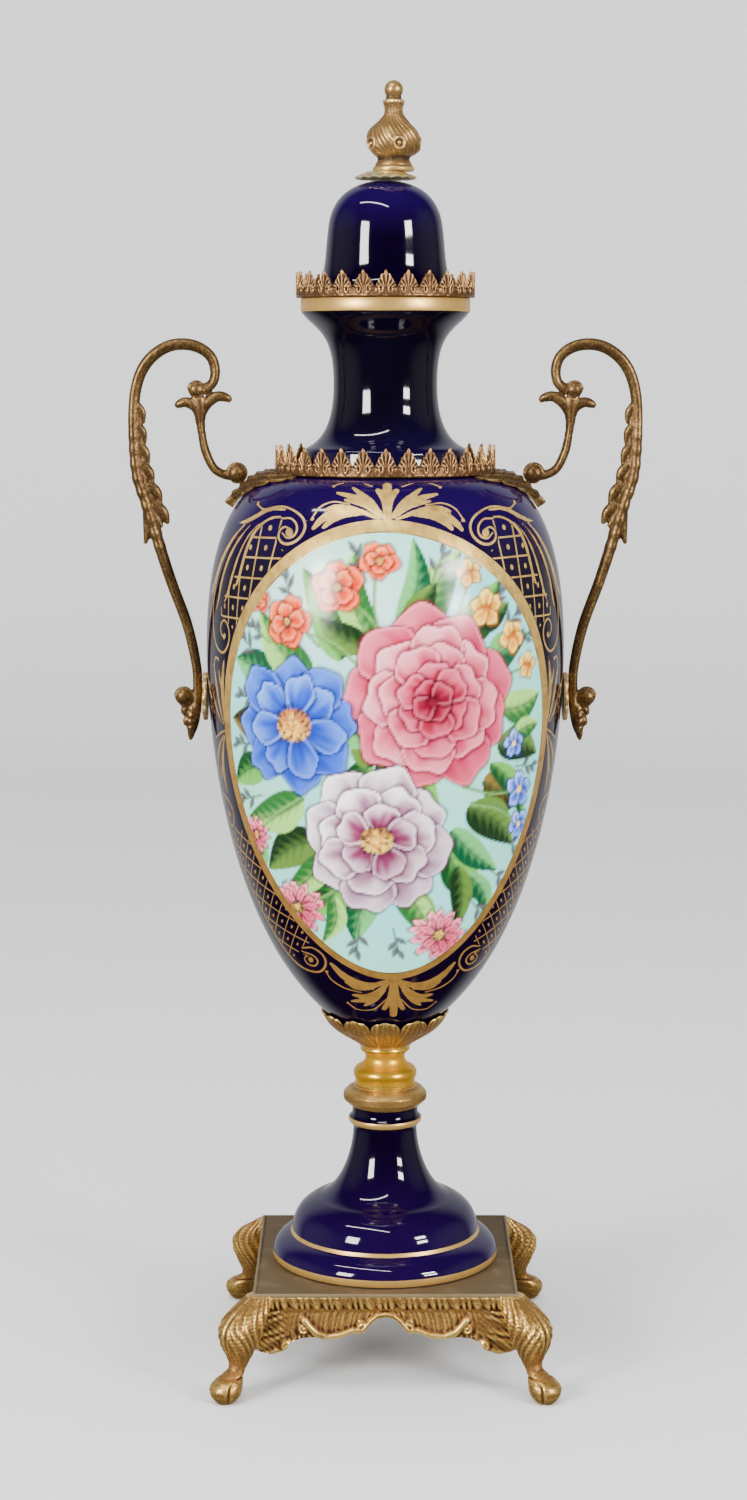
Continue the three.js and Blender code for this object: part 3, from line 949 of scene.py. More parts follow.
@dataclass
class Stem:
    """Porcelain foot, knurled collar, satin spool and the leaf cup under the body."""

    foot: Pair = field(default_factory=lambda: levels("foot"))
    collar: Pair = field(default_factory=lambda: levels("stem_collar"))
    spool: Pair = field(default_factory=lambda: levels("stem_spool"))
    cup_bottom: float = field(default_factory=lambda: levels("leaf_cup")[0])
    cup_floor: float = 157.4
    cup_tip: float = 167.5
    lobes: int = 12
    knurls: int = 88
    band_rows: int = 14

    def make_foot(self) -> Shape:
        """Turns the foot: stepped base, dome, flared stem and bead, hollow underneath.

        Returns:
            The mesh, in millimetres.
        """
        low, top = self.foot
        base = [(46, low), (53.2, low), (53.75, 48.3), (53.8, 50.8)]
        ogee = bezier((53.8, 50.8), (53.4, 54.6), (50.6, 57.2), (47.0, 58.7), 12)[1:]
        step = [(45.4, 59.3), (44.9, 60.2), (44.6, 61.0), (44.45, 62.2)]
        dome = bezier((44.4, 62.4), (43, 71), (38, 74), (33, 76.4), 18)[1:]
        stem = bezier((33, 76.4), (21.1, 79.1), (15.2, 99.7), (15.2, 110), 36)[1:]
        bead = [(15.25, 111.2), (15.7, 112.1), (16.7, 112.8), (17.35, 113.7), (17.5, 114.6), (17.25, 115.5)]
        neck = [(16.5, 116.3), (15.85, 117.1), (15.6, 118.2), (15.6, 120.2), (15.2, top), (12, top), (0, top)]
        inside = [(0, 116.7), (10.8, 116.7), (11, 100), (13, 91), (16, 85), (24, 77), (33, 71), (38, 65)]
        profile = [*base, *ogee, *step, *dome, *stem, *bead, *neck, *inside, (40, 60)]
        return spin(profile, PORCELAIN_SIDES, closed=True)

    def make_collar(self) -> Shape:
        """Turns the collar and rolls its knurled band.

        Returns:
            The mesh, in millimetres.
        """
        low, top = self.collar
        lower = lifted(low, (0, 0), (15.8, 0), (16.8, 0.5), (18.2, 1.9), (19.2, 2.7), (19.7, 3.2))
        band = lifted(low + 3.5, *((19.75, 0.2 * row) for row in range(self.band_rows)))
        upper = lifted(low, (19.6, 6.4), (19.0, 7.2), (17.9, 8.3), (16.6, 9.0), (15.2, 9.6))
        end = lifted(top, (14.6, -0.1), (14.2, 0), (0, 0))
        shape = spin([*lower, *band, *upper, *end], self.knurls * 4)

        def knurl(angle: float, radius: float, height: float) -> Pair:
            """Rolls the band's ridges."""
            share = height - low
            rolled = smooth(3.2, 3.5, share) * smooth(6.4, 6.1, share)
            ridge = math.cos(self.knurls * angle) * math.cos(math.pi * share / 0.8)
            return radius + (0.14 * rolled * ridge if radius > 19 else 0), height

        return carved(shape, knurl)

    def make_spool(self) -> Shape:
        """Turns the satin spool.

        Returns:
            The mesh, in millimetres.
        """
        low, top = self.spool
        profile = lifted(
            low, (0, 0), (14.1, 0), (14.3, 0.3), (14.35, 1.4), (14.15, 2.2), (14.3, 2.8), (14.8, 3.7),
            (15.1, 5.0), (15.05, 6.0), (14.7, 7.0), (13.9, 8.1), (12.6, 8.9), (11.2, 9.6), (10.2, 10.6),
            (9.6, 12), (9.3, 13.3), (9.5, 14.4), (10.1, 15.4), (11.1, 16.1), (11.8, 16.8), (11.9, 17.5),
        )
        return spin(profile + lifted(top, (11.6, -0.1), (11.2, 0), (0, 0)), PORCELAIN_SIDES)

    def make_cup(self) -> Shape:
        """Turns the calyx, then cuts and ribs its leaves.

        Returns:
            The mesh, in millimetres.
        """
        low, floor = self.cup_bottom, self.cup_floor
        outer = bezier((12.2, low), (15.4, low + 4.6), (27.6, low + 7.2), (30.0, 167.3), 44)
        rim = [(29.8, 167.7), (29.3, 167.6)]
        inner = bezier((29.0, 167.2), (27.4, 161.2), (20.0, 157.6), (12.0, floor), 18)
        shape = spin([(0, low), *outer, *rim, *inner, (0, floor)], self.lobes * 26)

        def leafy(angle: float, radius: float, height: float) -> Pair:
            """Cuts the leaves' tips and raises their ribs."""
            share = min(max((height - low) / (self.cup_tip - low), 0), 1)
            turn = angle * self.lobes / TURN
            across = abs(math.remainder(turn, 1.0)) * 2
            edge = smooth(0.3, 1.0, share)
            drop = across**2.2 * edge * 3.4 + 0.55 * edge * (0.5 - 0.5 * math.cos(3 * TURN * across / 2))
            out = -1.5 * across**2 * edge
            if radius > 11 and height < floor + (radius - 12) * 0.62 - 0.6:
                ruffle = 0.28 * math.cos(TURN * 2.5 * across + 5 * share) * smooth(0.1, 0.4, share)
                rib = 0.5 * bump(across, 0, 0.13) + ruffle - 1.2 * bump(across, 1, 0.14)
                second = abs(math.remainder(turn + 0.5, 1.0)) * 2
                under = 0.7 * bump(second, 0, 0.45) * bump(share, 0.22, 0.16)
                out += (rib * smooth(0.0, 0.25, share) + under - 0.5) * 0.9
            if radius > 24 and share > 0.75:
                out += 0.5 * smooth(0.8, 1.0, share) * bump(across, 0, 0.6)
            return min(radius + out if radius > 1 else radius, 30.4), height - drop

        return carved(shape, leafy)

    def build(self, finishes: "Finishes") -> None:
        """Builds and dresses everything from the foot to the cup.

        Args:
            finishes: The urn's materials.
        """
        brass = Slot.BRASS
        finished(self.make_foot(), "porcelain_foot", ["foot"], Slot.PORCELAIN, finishes.foot_glaze, 35)
        finished(self.make_collar(), "knurled_collar", ["stem_collar"], brass, finishes.collar, 40, relief=6)
        finished(self.make_spool(), "satin_spool", ["stem_spool"], Slot.SATIN, finishes.satin, 40, relief=6)
        finished(self.make_cup(), "leaf_cup_casting", ["leaf_cup"], brass, finishes.base, relief=10)


# ---- galleries


@dataclass
class Gallery:
    """Strip of pointed leaves that stands on a flat ring.

    Radius is the strip's and inner is the ring's. Each lobe of half a leaf is its middle across the leaf,
    the height of its tip and its half width, all as shares.
    """

    piece: str
    node: str
    radius: float
    inner: float
    leaves: int
    flange: float = 1.5
    thickness: float = 0.9
    front_share: float = 0.68
    rows: int = 32
    lobes: tuple[Triple, ...] = ((0.0, 1.0, 0.2), (0.31, 0.86, 0.15), (0.57, 0.71, 0.13), (0.77, 0.55, 0.09))

    def outline(self, across: float) -> float:
        """Returns the strip's height at a place across one leaf, from 0 at the middle to 1 between leaves."""
        shape = max(top - 0.16 * (abs(across - middle) / half) ** 1.4 for middle, top, half in self.lobes)
        return max(shape, 0.43 - 0.04 * bump(across, 1, 0.12))

    def relief(self, across: float, share: float) -> float:
        """Returns how far the leaf stands out at a place across it and up it, in millimetres.

        Args:
            across: 0 at the leaf's middle, 1 between leaves.
            share: 0 at its foot, 1 at its tip.

        Returns:
            The relief.
        """
        spray = math.atan2(across * 0.42, max(share - 0.22, 0.02))
        away = math.hypot(across * 0.42, share - 0.22)
        vein = 0.3 * bump(spray, 0, 0.09) * smooth(0.08, 0.2, away)
        fan = 0.42 * math.cos(TURN * spray / 0.36) * smooth(0.1, 0.22, away) * smooth(0.24, 0.34, share)
        ring = math.hypot((across - 0.42) * 1.25, (share - 0.27) * 1.5)
        curl = 0.6 * bump(ring, 0.2, 0.07) - 0.4 * bump(ring, 0.0, 0.09)
        base = 0.35 * bump(share, 0.05, 0.05)
        gap = -0.45 * bump(across, 1.0, 0.14) * smooth(0.1, 0.3, share)
        return vein + fan + curl + base + gap

    def build(self, finish: Material) -> None:
        """Builds and dresses the gallery.

        Args:
            finish: The strip's material.
        """
        bottom, top = levels(self.node)
        tall = top - bottom

        def place(around: float, loop: float) -> Triple:
            """Places a vertex of the strip: its front, then its back."""
            angle = around * TURN
            across = abs(math.remainder(around * self.leaves, 1.0)) * 2
            crest = self.outline(across) * tall
            if loop < self.front_share:
                height = loop / self.front_share * crest
                curl = 0.3 * smooth(0.7, 1.0, height / tall)
                out = self.relief(across, height / tall) * 0.75 - 0.45 + curl
            else:
                height = crest * (1 - (loop - self.front_share) / (1 - self.front_share))
                out = -self.thickness - 0.2
            radius = self.radius + min(out, 0.0)
            return radius * math.sin(angle), -radius * math.cos(angle), bottom + height

        strip = tidied(sheet(self.leaves * 36, self.rows, place))
        edge, shelf = self.radius - 0.5, bottom + self.flange
        ring = [(self.inner, bottom), (edge, bottom), (self.radius - 0.2, bottom + 0.6), (edge, shelf)]
        floor = spin([*ring, (self.inner, shelf)], self.leaves * 6, closed=True)
        finished(together(strip, floor), self.piece, [self.node], Slot.BRASS, finish, relief=6)


# ---- neck, lid and finial


@dataclass
class Crown:
    """Porcelain neck and lid with the brass finial on its scalloped disc."""

    neck: Pair = field(default_factory=lambda: levels("neck"))
    lid: Pair = field(default_factory=lambda: levels("lid"))
    finial: Pair = field(default_factory=lambda: levels("finial"))
    finial_offset: float = 3.7
    neck_wall: float = 3.5
    knob_radius: float = 4.3
    knob_middle: float = 595.7

    def make_neck(self) -> Shape:
        """Turns the open neck with its gilded rim.

        Returns:
            The mesh, in millimetres.
        """
        low, top = self.neck
        flare = bezier((36.5, 433.5), (26.7, 438), (24, 449.9), (24, 463), 26)
        mouth = bezier((24, 463), (24, 487.2), (32.2, 486.7), (38.9, 495.6), 30)[1:]
        base = [(34.5, low), (38, low), (38, 431.2), (37.6, 432.6)]
        rim = [(39.1, 496.2), (39.0, 501.2), (38.7, top), (35.8, top)]
        wall = inset([*flare[8:], *mouth[:-8]], self.neck_wall)[::-1]
        return spin([*base, *flare, *mouth, *rim, *wall, (34.5, 433.0)], PORCELAIN_SIDES, closed=True)

    def make_lid(self) -> Shape:
        """Turns the bell-shaped lid, hollow inside.

        Returns:
            The mesh, in millimetres.
        """
        low, top = self.lid
        plug = [(29.4, 504.6), (29.4, low), (32.4, low), (32.4, 503.8), (38, 503.8), (38, 504.6)]
        flare = bezier((37.6, 504.9), (30, 506), (28.6, 512), (27.6, 521), 20)
        barrel = bezier((27.6, 521), (27.1, 526.5), (26.8, 531), (26.1, 535.5), 10)[1:]
        dome = bezier((26.1, 535.5), (24.9, 543.4), (19.7, top), (0, top), 30)[1:]
        inside = bezier((0, 551.6), (14, 551.6), (22, 543), (23.4, 530), 14)
        profile = [*plug, *flare, *barrel, *dome, *inside, (25.6, 513), (27.6, 507)]
        return spin(profile, PORCELAIN_SIDES, closed=True)

    def make_disc(self) -> Shape:
        """Turns the disc under the finial and flutes its edge.

        Returns:
            The mesh, in millimetres.
        """
        low, top = self.lid[1] + 0.3, self.finial[0] - 0.3
        profile = lifted(
            low, (0, 0), (9, 0), (12.2, 0.2), (14.2, 0.6), (14.4, 1.0), (14.0, 1.35), (12.6, 1.9),
            (11, 2.5), (9.8, 3.0),
        )
        shape = spin([*profile, (9, top), (0, top)], 16 * 14)

        def fluted(angle: float, radius: float, height: float) -> Pair:
            """Scallops the disc's edge."""
            edge = smooth(9.4, 13.8, radius)
            lobe = abs(math.cos(8 * angle))
            return radius * (1 - 0.055 * edge * (1 - lobe)), height + edge * (lobe - 0.6) * 0.55

        return carved(shape, fluted)

    def make_finial(self) -> Shape:
        """Turns the finial: moulded foot, swirled bulb with volutes, fluted cup and ball.

        Returns:
            The mesh, in millimetres.
        """
        low, top = self.finial
        foot = [(0, low), (9.3, low), (9.6, 559.7), (9.6, 560.5), (9.0, 561.2), (8.4, 561.6), (8.5, 562.2)]
        waist = [(8.1, 562.9), (7.5, 563.7), (7.3, 564.6), (7.7, 565.5)]
        bulb = bezier((8.3, 566.0), (12.6, 567.8), (13.6, 575.6), (9.0, 579.6), 40)
        shoulder = bezier((9.0, 579.6), (6.6, 581.6), (5.0, 583.2), (4.3, 585.4), 12)[1:]
        cup = [(4.1, 586.6), (4.1, 587.8), (4.4, 588.8), (4.9, 589.8), (5.1, 590.5), (4.7, 591.1)]
        lip = [(3.7, 591.6), (3.5, 592.3)]
        radius, turns = self.knob_radius, np.linspace(math.radians(52), math.pi, 14)[:-1]
        knob = [(radius * math.sin(turn), self.knob_middle - radius * math.cos(turn)) for turn in turns]
        shape = spin([*foot, *waist, *bulb, *shoulder, *cup, *lip, *knob, (0.0, top)], 170)

        def swirled(angle: float, radius: float, height: float) -> Pair:
            """Raises the bulb's lobes, volutes and reeds, and flutes the cup."""
            body = smooth(565.2, 567.5, height) * smooth(585.5, 582.0, height)
            lean = angle + 0.055 * (height - 572)
            eye = math.hypot(math.remainder(angle - 0.22, TURN / 5) * 12.2, height - 571.2)
            ring = 0.75 * bump(eye, 2.6, 0.7) - 0.8 * bump(eye, 1.4, 0.6) + 0.5 * bump(eye, 0.0, 0.8)
            reeds = 0.2 * math.cos(30 * lean) * smooth(2.6, 4.0, eye)
            collar = 0.22 * math.cos(11 * angle) * bump(height, 588.4, 2.2)
            swell = (0.55 * math.cos(5 * lean) + reeds + ring) * body
            return radius + swell + (collar if radius > 1 else 0), height

        carved(shape, swirled)
        bmesh.ops.translate(shape, vec=(self.finial_offset, 0, 0), verts=shape.verts)
        return shape

    def build(self, finishes: "Finishes") -> None:
        """Builds and dresses everything above the body except the galleries.

        Args:
            finishes: The urn's materials.
        """
        finished(self.make_neck(), "porcelain_neck", ["neck"], Slot.PORCELAIN, finishes.neck_glaze, 35)
        finished(self.make_lid(), "porcelain_lid", ["lid"], Slot.PORCELAIN, finishes.lid_glaze, 35)
        finished(self.make_disc(), "finial_disc", ["finial_rosette"], Slot.BRASS, finishes.pale, 40, relief=8)
        finished(self.make_finial(), "swirled_finial", ["finial"], Slot.BRASS, finishes.finial, relief=8)


# ---- handles


@dataclass
class Handle:
    """Cast handle in the XZ plane: long leaf arm, upper scroll, calyx, stem and lower volute.

    Each stop is x, z, half width in the plane and half width across it, drawn for the right side. Each
    knob is x, z and a radius. Each hook is the root, the tip, the width and the curl of a small lobe.
    """

    side: Side
    voxel: float = 0.42
    leaf_lobes: int = 6
    arm: Stops = (
        (91.6, 297.0, 0.6, 0.9), (90, 303, 1.9, 2.4), (88.6, 311, 2.2, 2.8), (88.1, 320, 2.2, 2.6),
        (88.4, 331, 2.3, 2.6), (92.5, 350.5, 2.5, 2.7), (100, 371.6, 2.6, 2.9), (105.4, 388.6, 2.8, 3.3),
        (111.0, 408.3, 3.1, 3.9), (114.8, 420, 3.0, 3.7), (116.4, 435, 2.7, 3.0), (116.4, 453, 2.6, 2.8),
        (114.2, 465, 2.7, 2.8), (109.6, 473.4, 2.8, 2.9), (102.2, 479.2, 2.8, 2.9), (94.5, 481.1, 2.8, 2.9),
        (86.7, 479.8, 2.7, 2.9), (80.8, 475.6, 2.5, 2.9), (78.6, 469.6, 2.4, 2.8), (79.6, 463.4, 2.3, 2.8),
        (84.2, 459.6, 2.6, 3),
    )
    stem: Stops = (
        (86.4, 456.4, 4.4, 3.2), (86.0, 453, 4.2, 3.2), (85.8, 449.6, 3.1, 2.9), (85.6, 445, 2.2, 2.4),
        (85.0, 440, 1.9, 2.2), (83.4, 432, 2, 2.3), (79.4, 423.8, 2, 2.3), (74.6, 421.0, 2.1, 2.3),
        (70.6, 420.4, 2.2, 2.4),
    )
    wings: tuple[Stops, ...] = (
        ((85.8, 449.0, 2.2, 2.4), (88.2, 452.6, 2.6, 2.8), (92.4, 454.4, 2.4, 2.6), (95.8, 453.2, 1.9, 2.0),
         (97.0, 452.0, 0.9, 1.0)),
        ((85.2, 449.0, 2.2, 2.4), (82.4, 454.0, 2.7, 2.8), (77.6, 457.0, 2.5, 2.6), (73.0, 456.2, 2.0, 2.1),
         (71.4, 454.6, 1.0, 1.1)),
    )
    spine: tuple[Pair, ...] = ((388.6, 105.4), (408.3, 111.0), (420, 114.9), (435, 116.7), (453, 116.7))
    web: Stops = (
        (103.8, 396.6, 0.9, 1.5), (106.6, 402, 1.9, 2.0), (109.4, 409, 2.1, 2.1), (111.6, 416, 1.8, 2.0),
        (113.0, 426, 1.6, 1.9), (113.6, 438, 1.4, 1.8), (114.0, 450, 0.9, 1.4),
    )
    thorn: Stops = ((110.9, 404, 2.0, 2.4), (110.4, 396, 2.3, 2.4), (111.8, 388.8, 0.8, 0.9))
    knobs: tuple[Triple, ...] = ((87.4, 460.2, 3.9), (68.9, 421.8, 4.6), (94.5, 317.5, 4.2))
    bridge: Stops = ((89, 312.6, 1.8, 2.0), (91.4, 313.6, 1.8, 2.0), (94.6, 314.6, 1.2, 2.0))
    tail: Stops = (
        (89.8, 314.0, 2.0, 2.6), (90.6, 309.0, 2.8, 3.0), (90.8, 304.0, 2.5, 2.7), (91.1, 300.0, 1.9, 2.1),
        (91.6, 296.6, 0.7, 1.0),
    )
    hooks: tuple[tuple[Pair, Pair, float, float], ...] = (
        ((90.8, 314.2), (95.2, 308.8), 2.3, -0.9), ((90.8, 309.0), (94.0, 303.6), 2.1, -0.8),
    )
    leaf_span: Pair = (0.85, 0.5)
    leaf_steps: int = 200
    leaf_front: float = 0.62
    rosette_place: Triple = (83.6, 0, 317.6)
    rosette: tuple[Pair, ...] = (
        (0, 0), (9, -0.3), (11.2, -0.4), (11.6, 0.5), (11.3, 1.4), (10.2, 1.8), (8.6, 1.6), (7.2, 1.5),
        (6, 1.7), (4.4, 2.1), (2.4, 2.4), (0, 2.5),
    )

    def rod(self, stops: Stops, rows: int, rule: Callable[[float, float], float] | None = None) -> Shape:
        """Sweeps a round bar through stops.

        Args:
            stops: The stops.
            rows: Number of cells along the bar.
            rule: Gives what the bar's width is multiplied by, from the turn and the share of the length.

        Returns:
            The closed bar.
        """
        strand = Strand(stops)

        def place(around: float, along: float) -> Triple:
            """Places a vertex of the bar."""
            here = strand.at(along)
            ahead = strand.at(min(along + 0.002, 1.0)) - strand.at(max(along - 0.002, 0.0))
            ahead = ahead[:2] / np.hypot(*ahead[:2])
            turn = around * TURN
            swell = rule(turn, along) if rule else 1.0
            sideways = here[2] * math.cos(turn) * swell
            y = -here[3] * math.sin(turn) * swell
            return here[0] - ahead[1] * sideways, y, here[1] + ahead[0] * sideways

        return tube(28, rows, place)

    def lobe(self, root: Pair, tip: Pair, width: float, curl: float) -> Shape:
        """Makes one acanthus lobe that leaves the arm at its root and hooks at its tip.

        Args:
            root: Where it starts, as x and z.
            tip: Where it ends.
            width: Half width at its root.
            curl: How far its middle bows.

        Returns:
            The mesh, in millimetres.
        """
        middle = ((root[0] + tip[0]) / 2 - curl, (root[1] + tip[1]) / 2 + curl * 0.6)
        stops = (
            (*root, width, width * 1.05), (*middle, width * 0.95, width), (*tip, width * 0.34, width * 0.5),
        )
        return self.rod(stops, 14, lambda turn, along: 1 - 0.12 * bump(math.sin(turn), 1, 0.3))

    def eye(self, x: float, z: float, radius: float) -> list[Shape]:
        """Makes a knob and the thin coil that runs round it.

        Args:
            x: The knob's x.
            z: Its height.
            radius: Its radius.

        Returns:
            The two meshes.
        """
        reach = radius * 0.98
        turns = np.linspace(0, 5.2, 12)
        coil = [(x + reach * math.cos(turn), z + reach * math.sin(turn), 0.55, 2.6) for turn in turns]
        return [ball((x, 0, z), radius, (1, 0.95, 1)), self.rod(coil, 40)]

    def casting(self) -> Shape:
        """Makes the handle itself for the right side, as one skin.

        Returns:
            The mesh, in millimetres.
        """

        def gnarled(turn: float, along: float) -> float:
            """Gives the arm its grooves."""
            leafy = smooth(0.36, 0.42, along) * smooth(0.66, 0.6, along)
            groove = -0.12 * bump(math.remainder(turn + math.pi / 2, TURN), 0, 0.3)
            return 1 + 0.05 * math.cos(3 * turn) + (groove + 0.06 * math.cos(along * 220)) * leafy

        def notched(turn: float, along: float) -> float:
            """Gives the stem its notches."""
            front = 0.5 - 0.5 * math.sin(turn)
            notch = 0.2 * front * bump(math.sin(along * 68 + turn), 1, 0.35)
            return 1 + 0.04 * math.cos(4 * turn) - notch * smooth(0.12, 0.2, along) * smooth(0.5, 0.42, along)

        def ribbed(turn: float, along: float) -> float:
            """Gives the tail its rings."""
            return 1 - 0.13 * bump(math.sin(along * 34 + 1.2 * math.cos(turn)), 1, 0.45)

        shells = [self.rod(self.arm, 260, gnarled), self.rod(self.stem, 120, notched)]
        shells += [self.rod(stops, 20) for stops in self.wings]
        for index in range(self.leaf_lobes):
            height = 399.5 + index * 9.3
            x = float(np.interp(height, *zip(*self.spine)))
            root, tip = (x - 0.6, height + 8.0), (x - 7.4 + index * 0.5, height - 1.4)
            shells.append(self.lobe(root, tip, 2.7 - index * 0.14, 1.2))
        shells += [self.rod(self.web, 60), self.rod(self.thorn, 20)]
        for knob in self.knobs:
            shells += self.eye(*knob)
        shells += [self.rod(self.bridge, 14), self.rod(self.tail, 60, ribbed)]
        shells += [self.lobe(*hook) for hook in self.hooks]
        return fused(together(*shells), self.voxel)

    def shoulder_leaf(self) -> Shape:
        """Makes the broad leaf that lies on the shoulder and narrows to a knob.

        Returns:
            The mesh, in millimetres.
        """
        steps = self.leaf_steps
        curve = np.array(bezier(*BODY_UPPER, steps))

        def on_curve(step: float) -> np.ndarray:
            """Reads the shoulder's profile between its points."""
            return np.array([np.interp(step, range(steps + 1), curve[:, axis]) for axis in (0, 1)])

        def place(around: float, along: float) -> Triple:
            """Places a vertex of the leaf: its front, then its back."""
            first, last = self.leaf_span
            step = (first + (last - first) * along) * steps
            here = on_curve(step)
            ahead = on_curve(step + 1) - here
            ahead /= np.hypot(*ahead)
            normal = np.array([ahead[1], -ahead[0]])
            front = self.leaf_front
            over = around < front
            turn = (around / front) * 2 - 1 if over else 1 - (around - front) / (1 - front) * 2
            lobes = 1 + 0.15 * abs(math.cos(TURN * 2.6 * along)) * smooth(0.0, 0.1, along) - 0.08
            spread = math.radians(45) * (0.07 + 0.93 * (1 - along) ** 1.5) * lobes
            rib = 1 - turn * turn
            knob = smooth(0.75, 1.0, along) * 1.2
            thick = 0.9 + (2.2 + knob) * rib * (0.5 + 0.5 * min(1, along * 3))
            veins = 0.85 * math.cos(TURN * (2.4 * abs(turn) + 2.6 * along))
            veins = veins * smooth(0.06, 0.25, abs(turn)) * rib**0.3
            middle = 0.9 * bump(turn, 0, 0.12) + 0.5 * math.sin(along * 34) * bump(turn, 0, 0.3)
            lift = 0.5 + (min(thick + veins + middle, 4.6) if over else 0.0)
            radius, height = here + normal * lift
            angle = turn * spread
            return radius * math.cos(angle), radius * math.sin(angle), height

        return tube(150, 84, place)

    def disc(self) -> Shape:
        """Makes the scalloped disc between the body and the handle's lower end.

        Returns:
            The mesh, in millimetres.
        """
        shape = spin(self.rosette, 9 * 22)

        def scalloped(angle: float, radius: float, height: float) -> Pair:
            """Scallops the disc's edge."""
            edge = smooth(6.5, 11, radius)
            lobe = abs(math.cos(4.5 * angle))
            lift = 0.5 * edge * (lobe - 0.7) if height > 0 else 0
            return radius * (1 - 0.09 * edge * (1 - lobe)), height + lift

        shape = turned(carved(shape, scalloped), math.pi / 2, "Y")
        bmesh.ops.translate(shape, vec=self.rosette_place, verts=shape.verts)
        return shape

    def build(self, finishes: "Finishes") -> None:
        """Builds and dresses the handle with its rosette and shoulder leaf.

        Args:
            finishes: The urn's materials.
        """
        side = self.side.value
        for name, node, make, finish in (
            ("cast_handle", "handle", self.casting, finishes.cast),
            ("acanthus", "shoulder_leaf", self.shoulder_leaf, finishes.cast),
            ("fixing_rosette", "handle_rosette", self.disc, finishes.finial),
        ):
            shape = make() if self.side is Side.RIGHT else mirrored(make())
            finished(shape, f"{name}_{side}", [f"{node}_{side}"], Slot.BRASS, finish, relief=8)


# ---- the body's own flat map


class Belly:
    """The body's outside profile, and the flat map of its skin that the painter works on.

    The map's first number is the distance round the body from the middle of the front, and the
    second is the distance along the profile from the height where the painted oval is widest.
    """

    pole_height: float = 320.0
    oval_height: float = 299.0

    def __init__(self) -> None:
        """Draws the profile finely and measures its length."""
        self.path = np.array(bezier(*BODY_LOWER, 1600) + bezier(*BODY_UPPER, 1200)[1:])
        self.run = np.concatenate([[0.0], np.cumsum(np.hypot(*np.diff(self.path, axis=0).T))])
        self.pole = np.arctan2(self.path[:, 1] - self.pole_height, self.path[:, 0])
        self.run -= np.interp(self.oval_height, self.path[:, 1], self.run)

    def rows(self, spacing: float) -> list[Pair]:
        """Returns profile points about spacing apart."""
        return even([tuple(place) for place in self.path], spacing)

    def settle(self, radius: np.ndarray, height: np.ndarray) -> tuple[np.ndarray, np.ndarray, np.ndarray]:
        """Puts places near the skin exactly on it.

        Args:
            radius: Distances from the axis.
            height: Heights.

        Returns:
            The radius, the height and the map's second number of each place.
        """
        pole = np.arctan2(height - self.pole_height, radius)
        columns = (self.path[:, 0], self.path[:, 1], self.run)
        return tuple(np.interp(pole, self.pole, column) for column in columns)

    def flat(self, across: float, height: float) -> Pair:
        """Turns a place as it is seen from the front, across and height, into one on the map.

        Args:
            across: Distance from the middle.
            height: Height.

        Returns:
            The place on the map.
        """
        radius = float(np.interp(height, self.path[:, 1], self.path[:, 0]))
        angle = math.asin(max(-1.0, min(1.0, across / radius)))
        return angle * radius, float(np.interp(height, self.path[:, 1], self.run))


# ---- gilding and painting on the body


def through(stops: Stops, steps: int = 7) -> np.ndarray:
    """Draws a smooth curve through stops, each a place and whatever else changes along it."""
    strand = Strand(stops)
    return np.array([strand.at(share) for share in np.linspace(0, 1, steps * (len(stops) - 1) + 1)])


def near(curve: np.ndarray, pad: float, x: np.ndarray, y: np.ndarray) -> np.ndarray:
    """Returns the numbers of the places that lie less than pad outside the box round a curve."""
    low, high = curve[:, :2].min(axis=0) - pad, curve[:, :2].max(axis=0) + pad
    return np.flatnonzero((x > low[0]) & (x < high[0]) & (y > low[1]) & (y < high[1]))


def between(first: Sequence[float], second: Sequence[float], share: np.ndarray) -> np.ndarray:
    """Returns each place's mixture of two colours."""
    return np.asarray(first) * (1 - share[:, None]) + np.asarray(second) * share[:, None]


def toward(colour: np.ndarray, goal: Sequence[float], share: np.ndarray, strength: float = 1.0) -> np.ndarray:
    """Returns each place's colour after a part of its way to another."""
    return colour + (np.asarray(goal) - colour) * share[:, None] * strength


@dataclass
class Trace:
    """How a curve lies to many places: nearest distance, signed offset, share of length and half width."""

    gap: np.ndarray
    offset: np.ndarray
    share: np.ndarray
    half: np.ndarray


def trace(curve: np.ndarray, x: np.ndarray, y: np.ndarray) -> Trace:
    """Measures places against a curve of (x, y, half width) points.

    Args:
        curve: The curve.
        x: First numbers of the places.
        y: Their second numbers.

    Returns:
        What was measured, one number for each place.
    """
    gap = np.full(x.shape, np.inf)
    offset, share, half = np.zeros_like(gap), np.zeros_like(gap), np.ones_like(gap)
    lengths = np.hypot(*np.diff(curve[:, :2], axis=0).T)
    travelled = np.concatenate([[0.0], np.cumsum(lengths)])
    for index, length in enumerate(lengths):
        start, end = curve[index], curve[index + 1]
        along = (end[:2] - start[:2]) / length
        dx, dy = x - start[0], y - start[1]
        run = np.clip(dx * along[0] + dy * along[1], 0, length)
        here = np.hypot(dx - run * along[0], dy - run * along[1])
        better = here < gap
        gap = np.where(better, here, gap)
        offset = np.where(better, dx * along[1] - dy * along[0], offset)
        share = np.where(better, (travelled[index] + run) / travelled[-1], share)
        half = np.where(better, start[2] + (end[2] - start[2]) * run / length, half)
    return Trace(gap, offset, share, half)


def ramp(low: float, high: float, values: np.ndarray) -> np.ndarray:
    """Goes smoothly from 0 at low to 1 at high over an array; low may be the larger."""
    share = np.clip((values - low) / (high - low), 0, 1)
    return share * share * (3 - 2 * share)


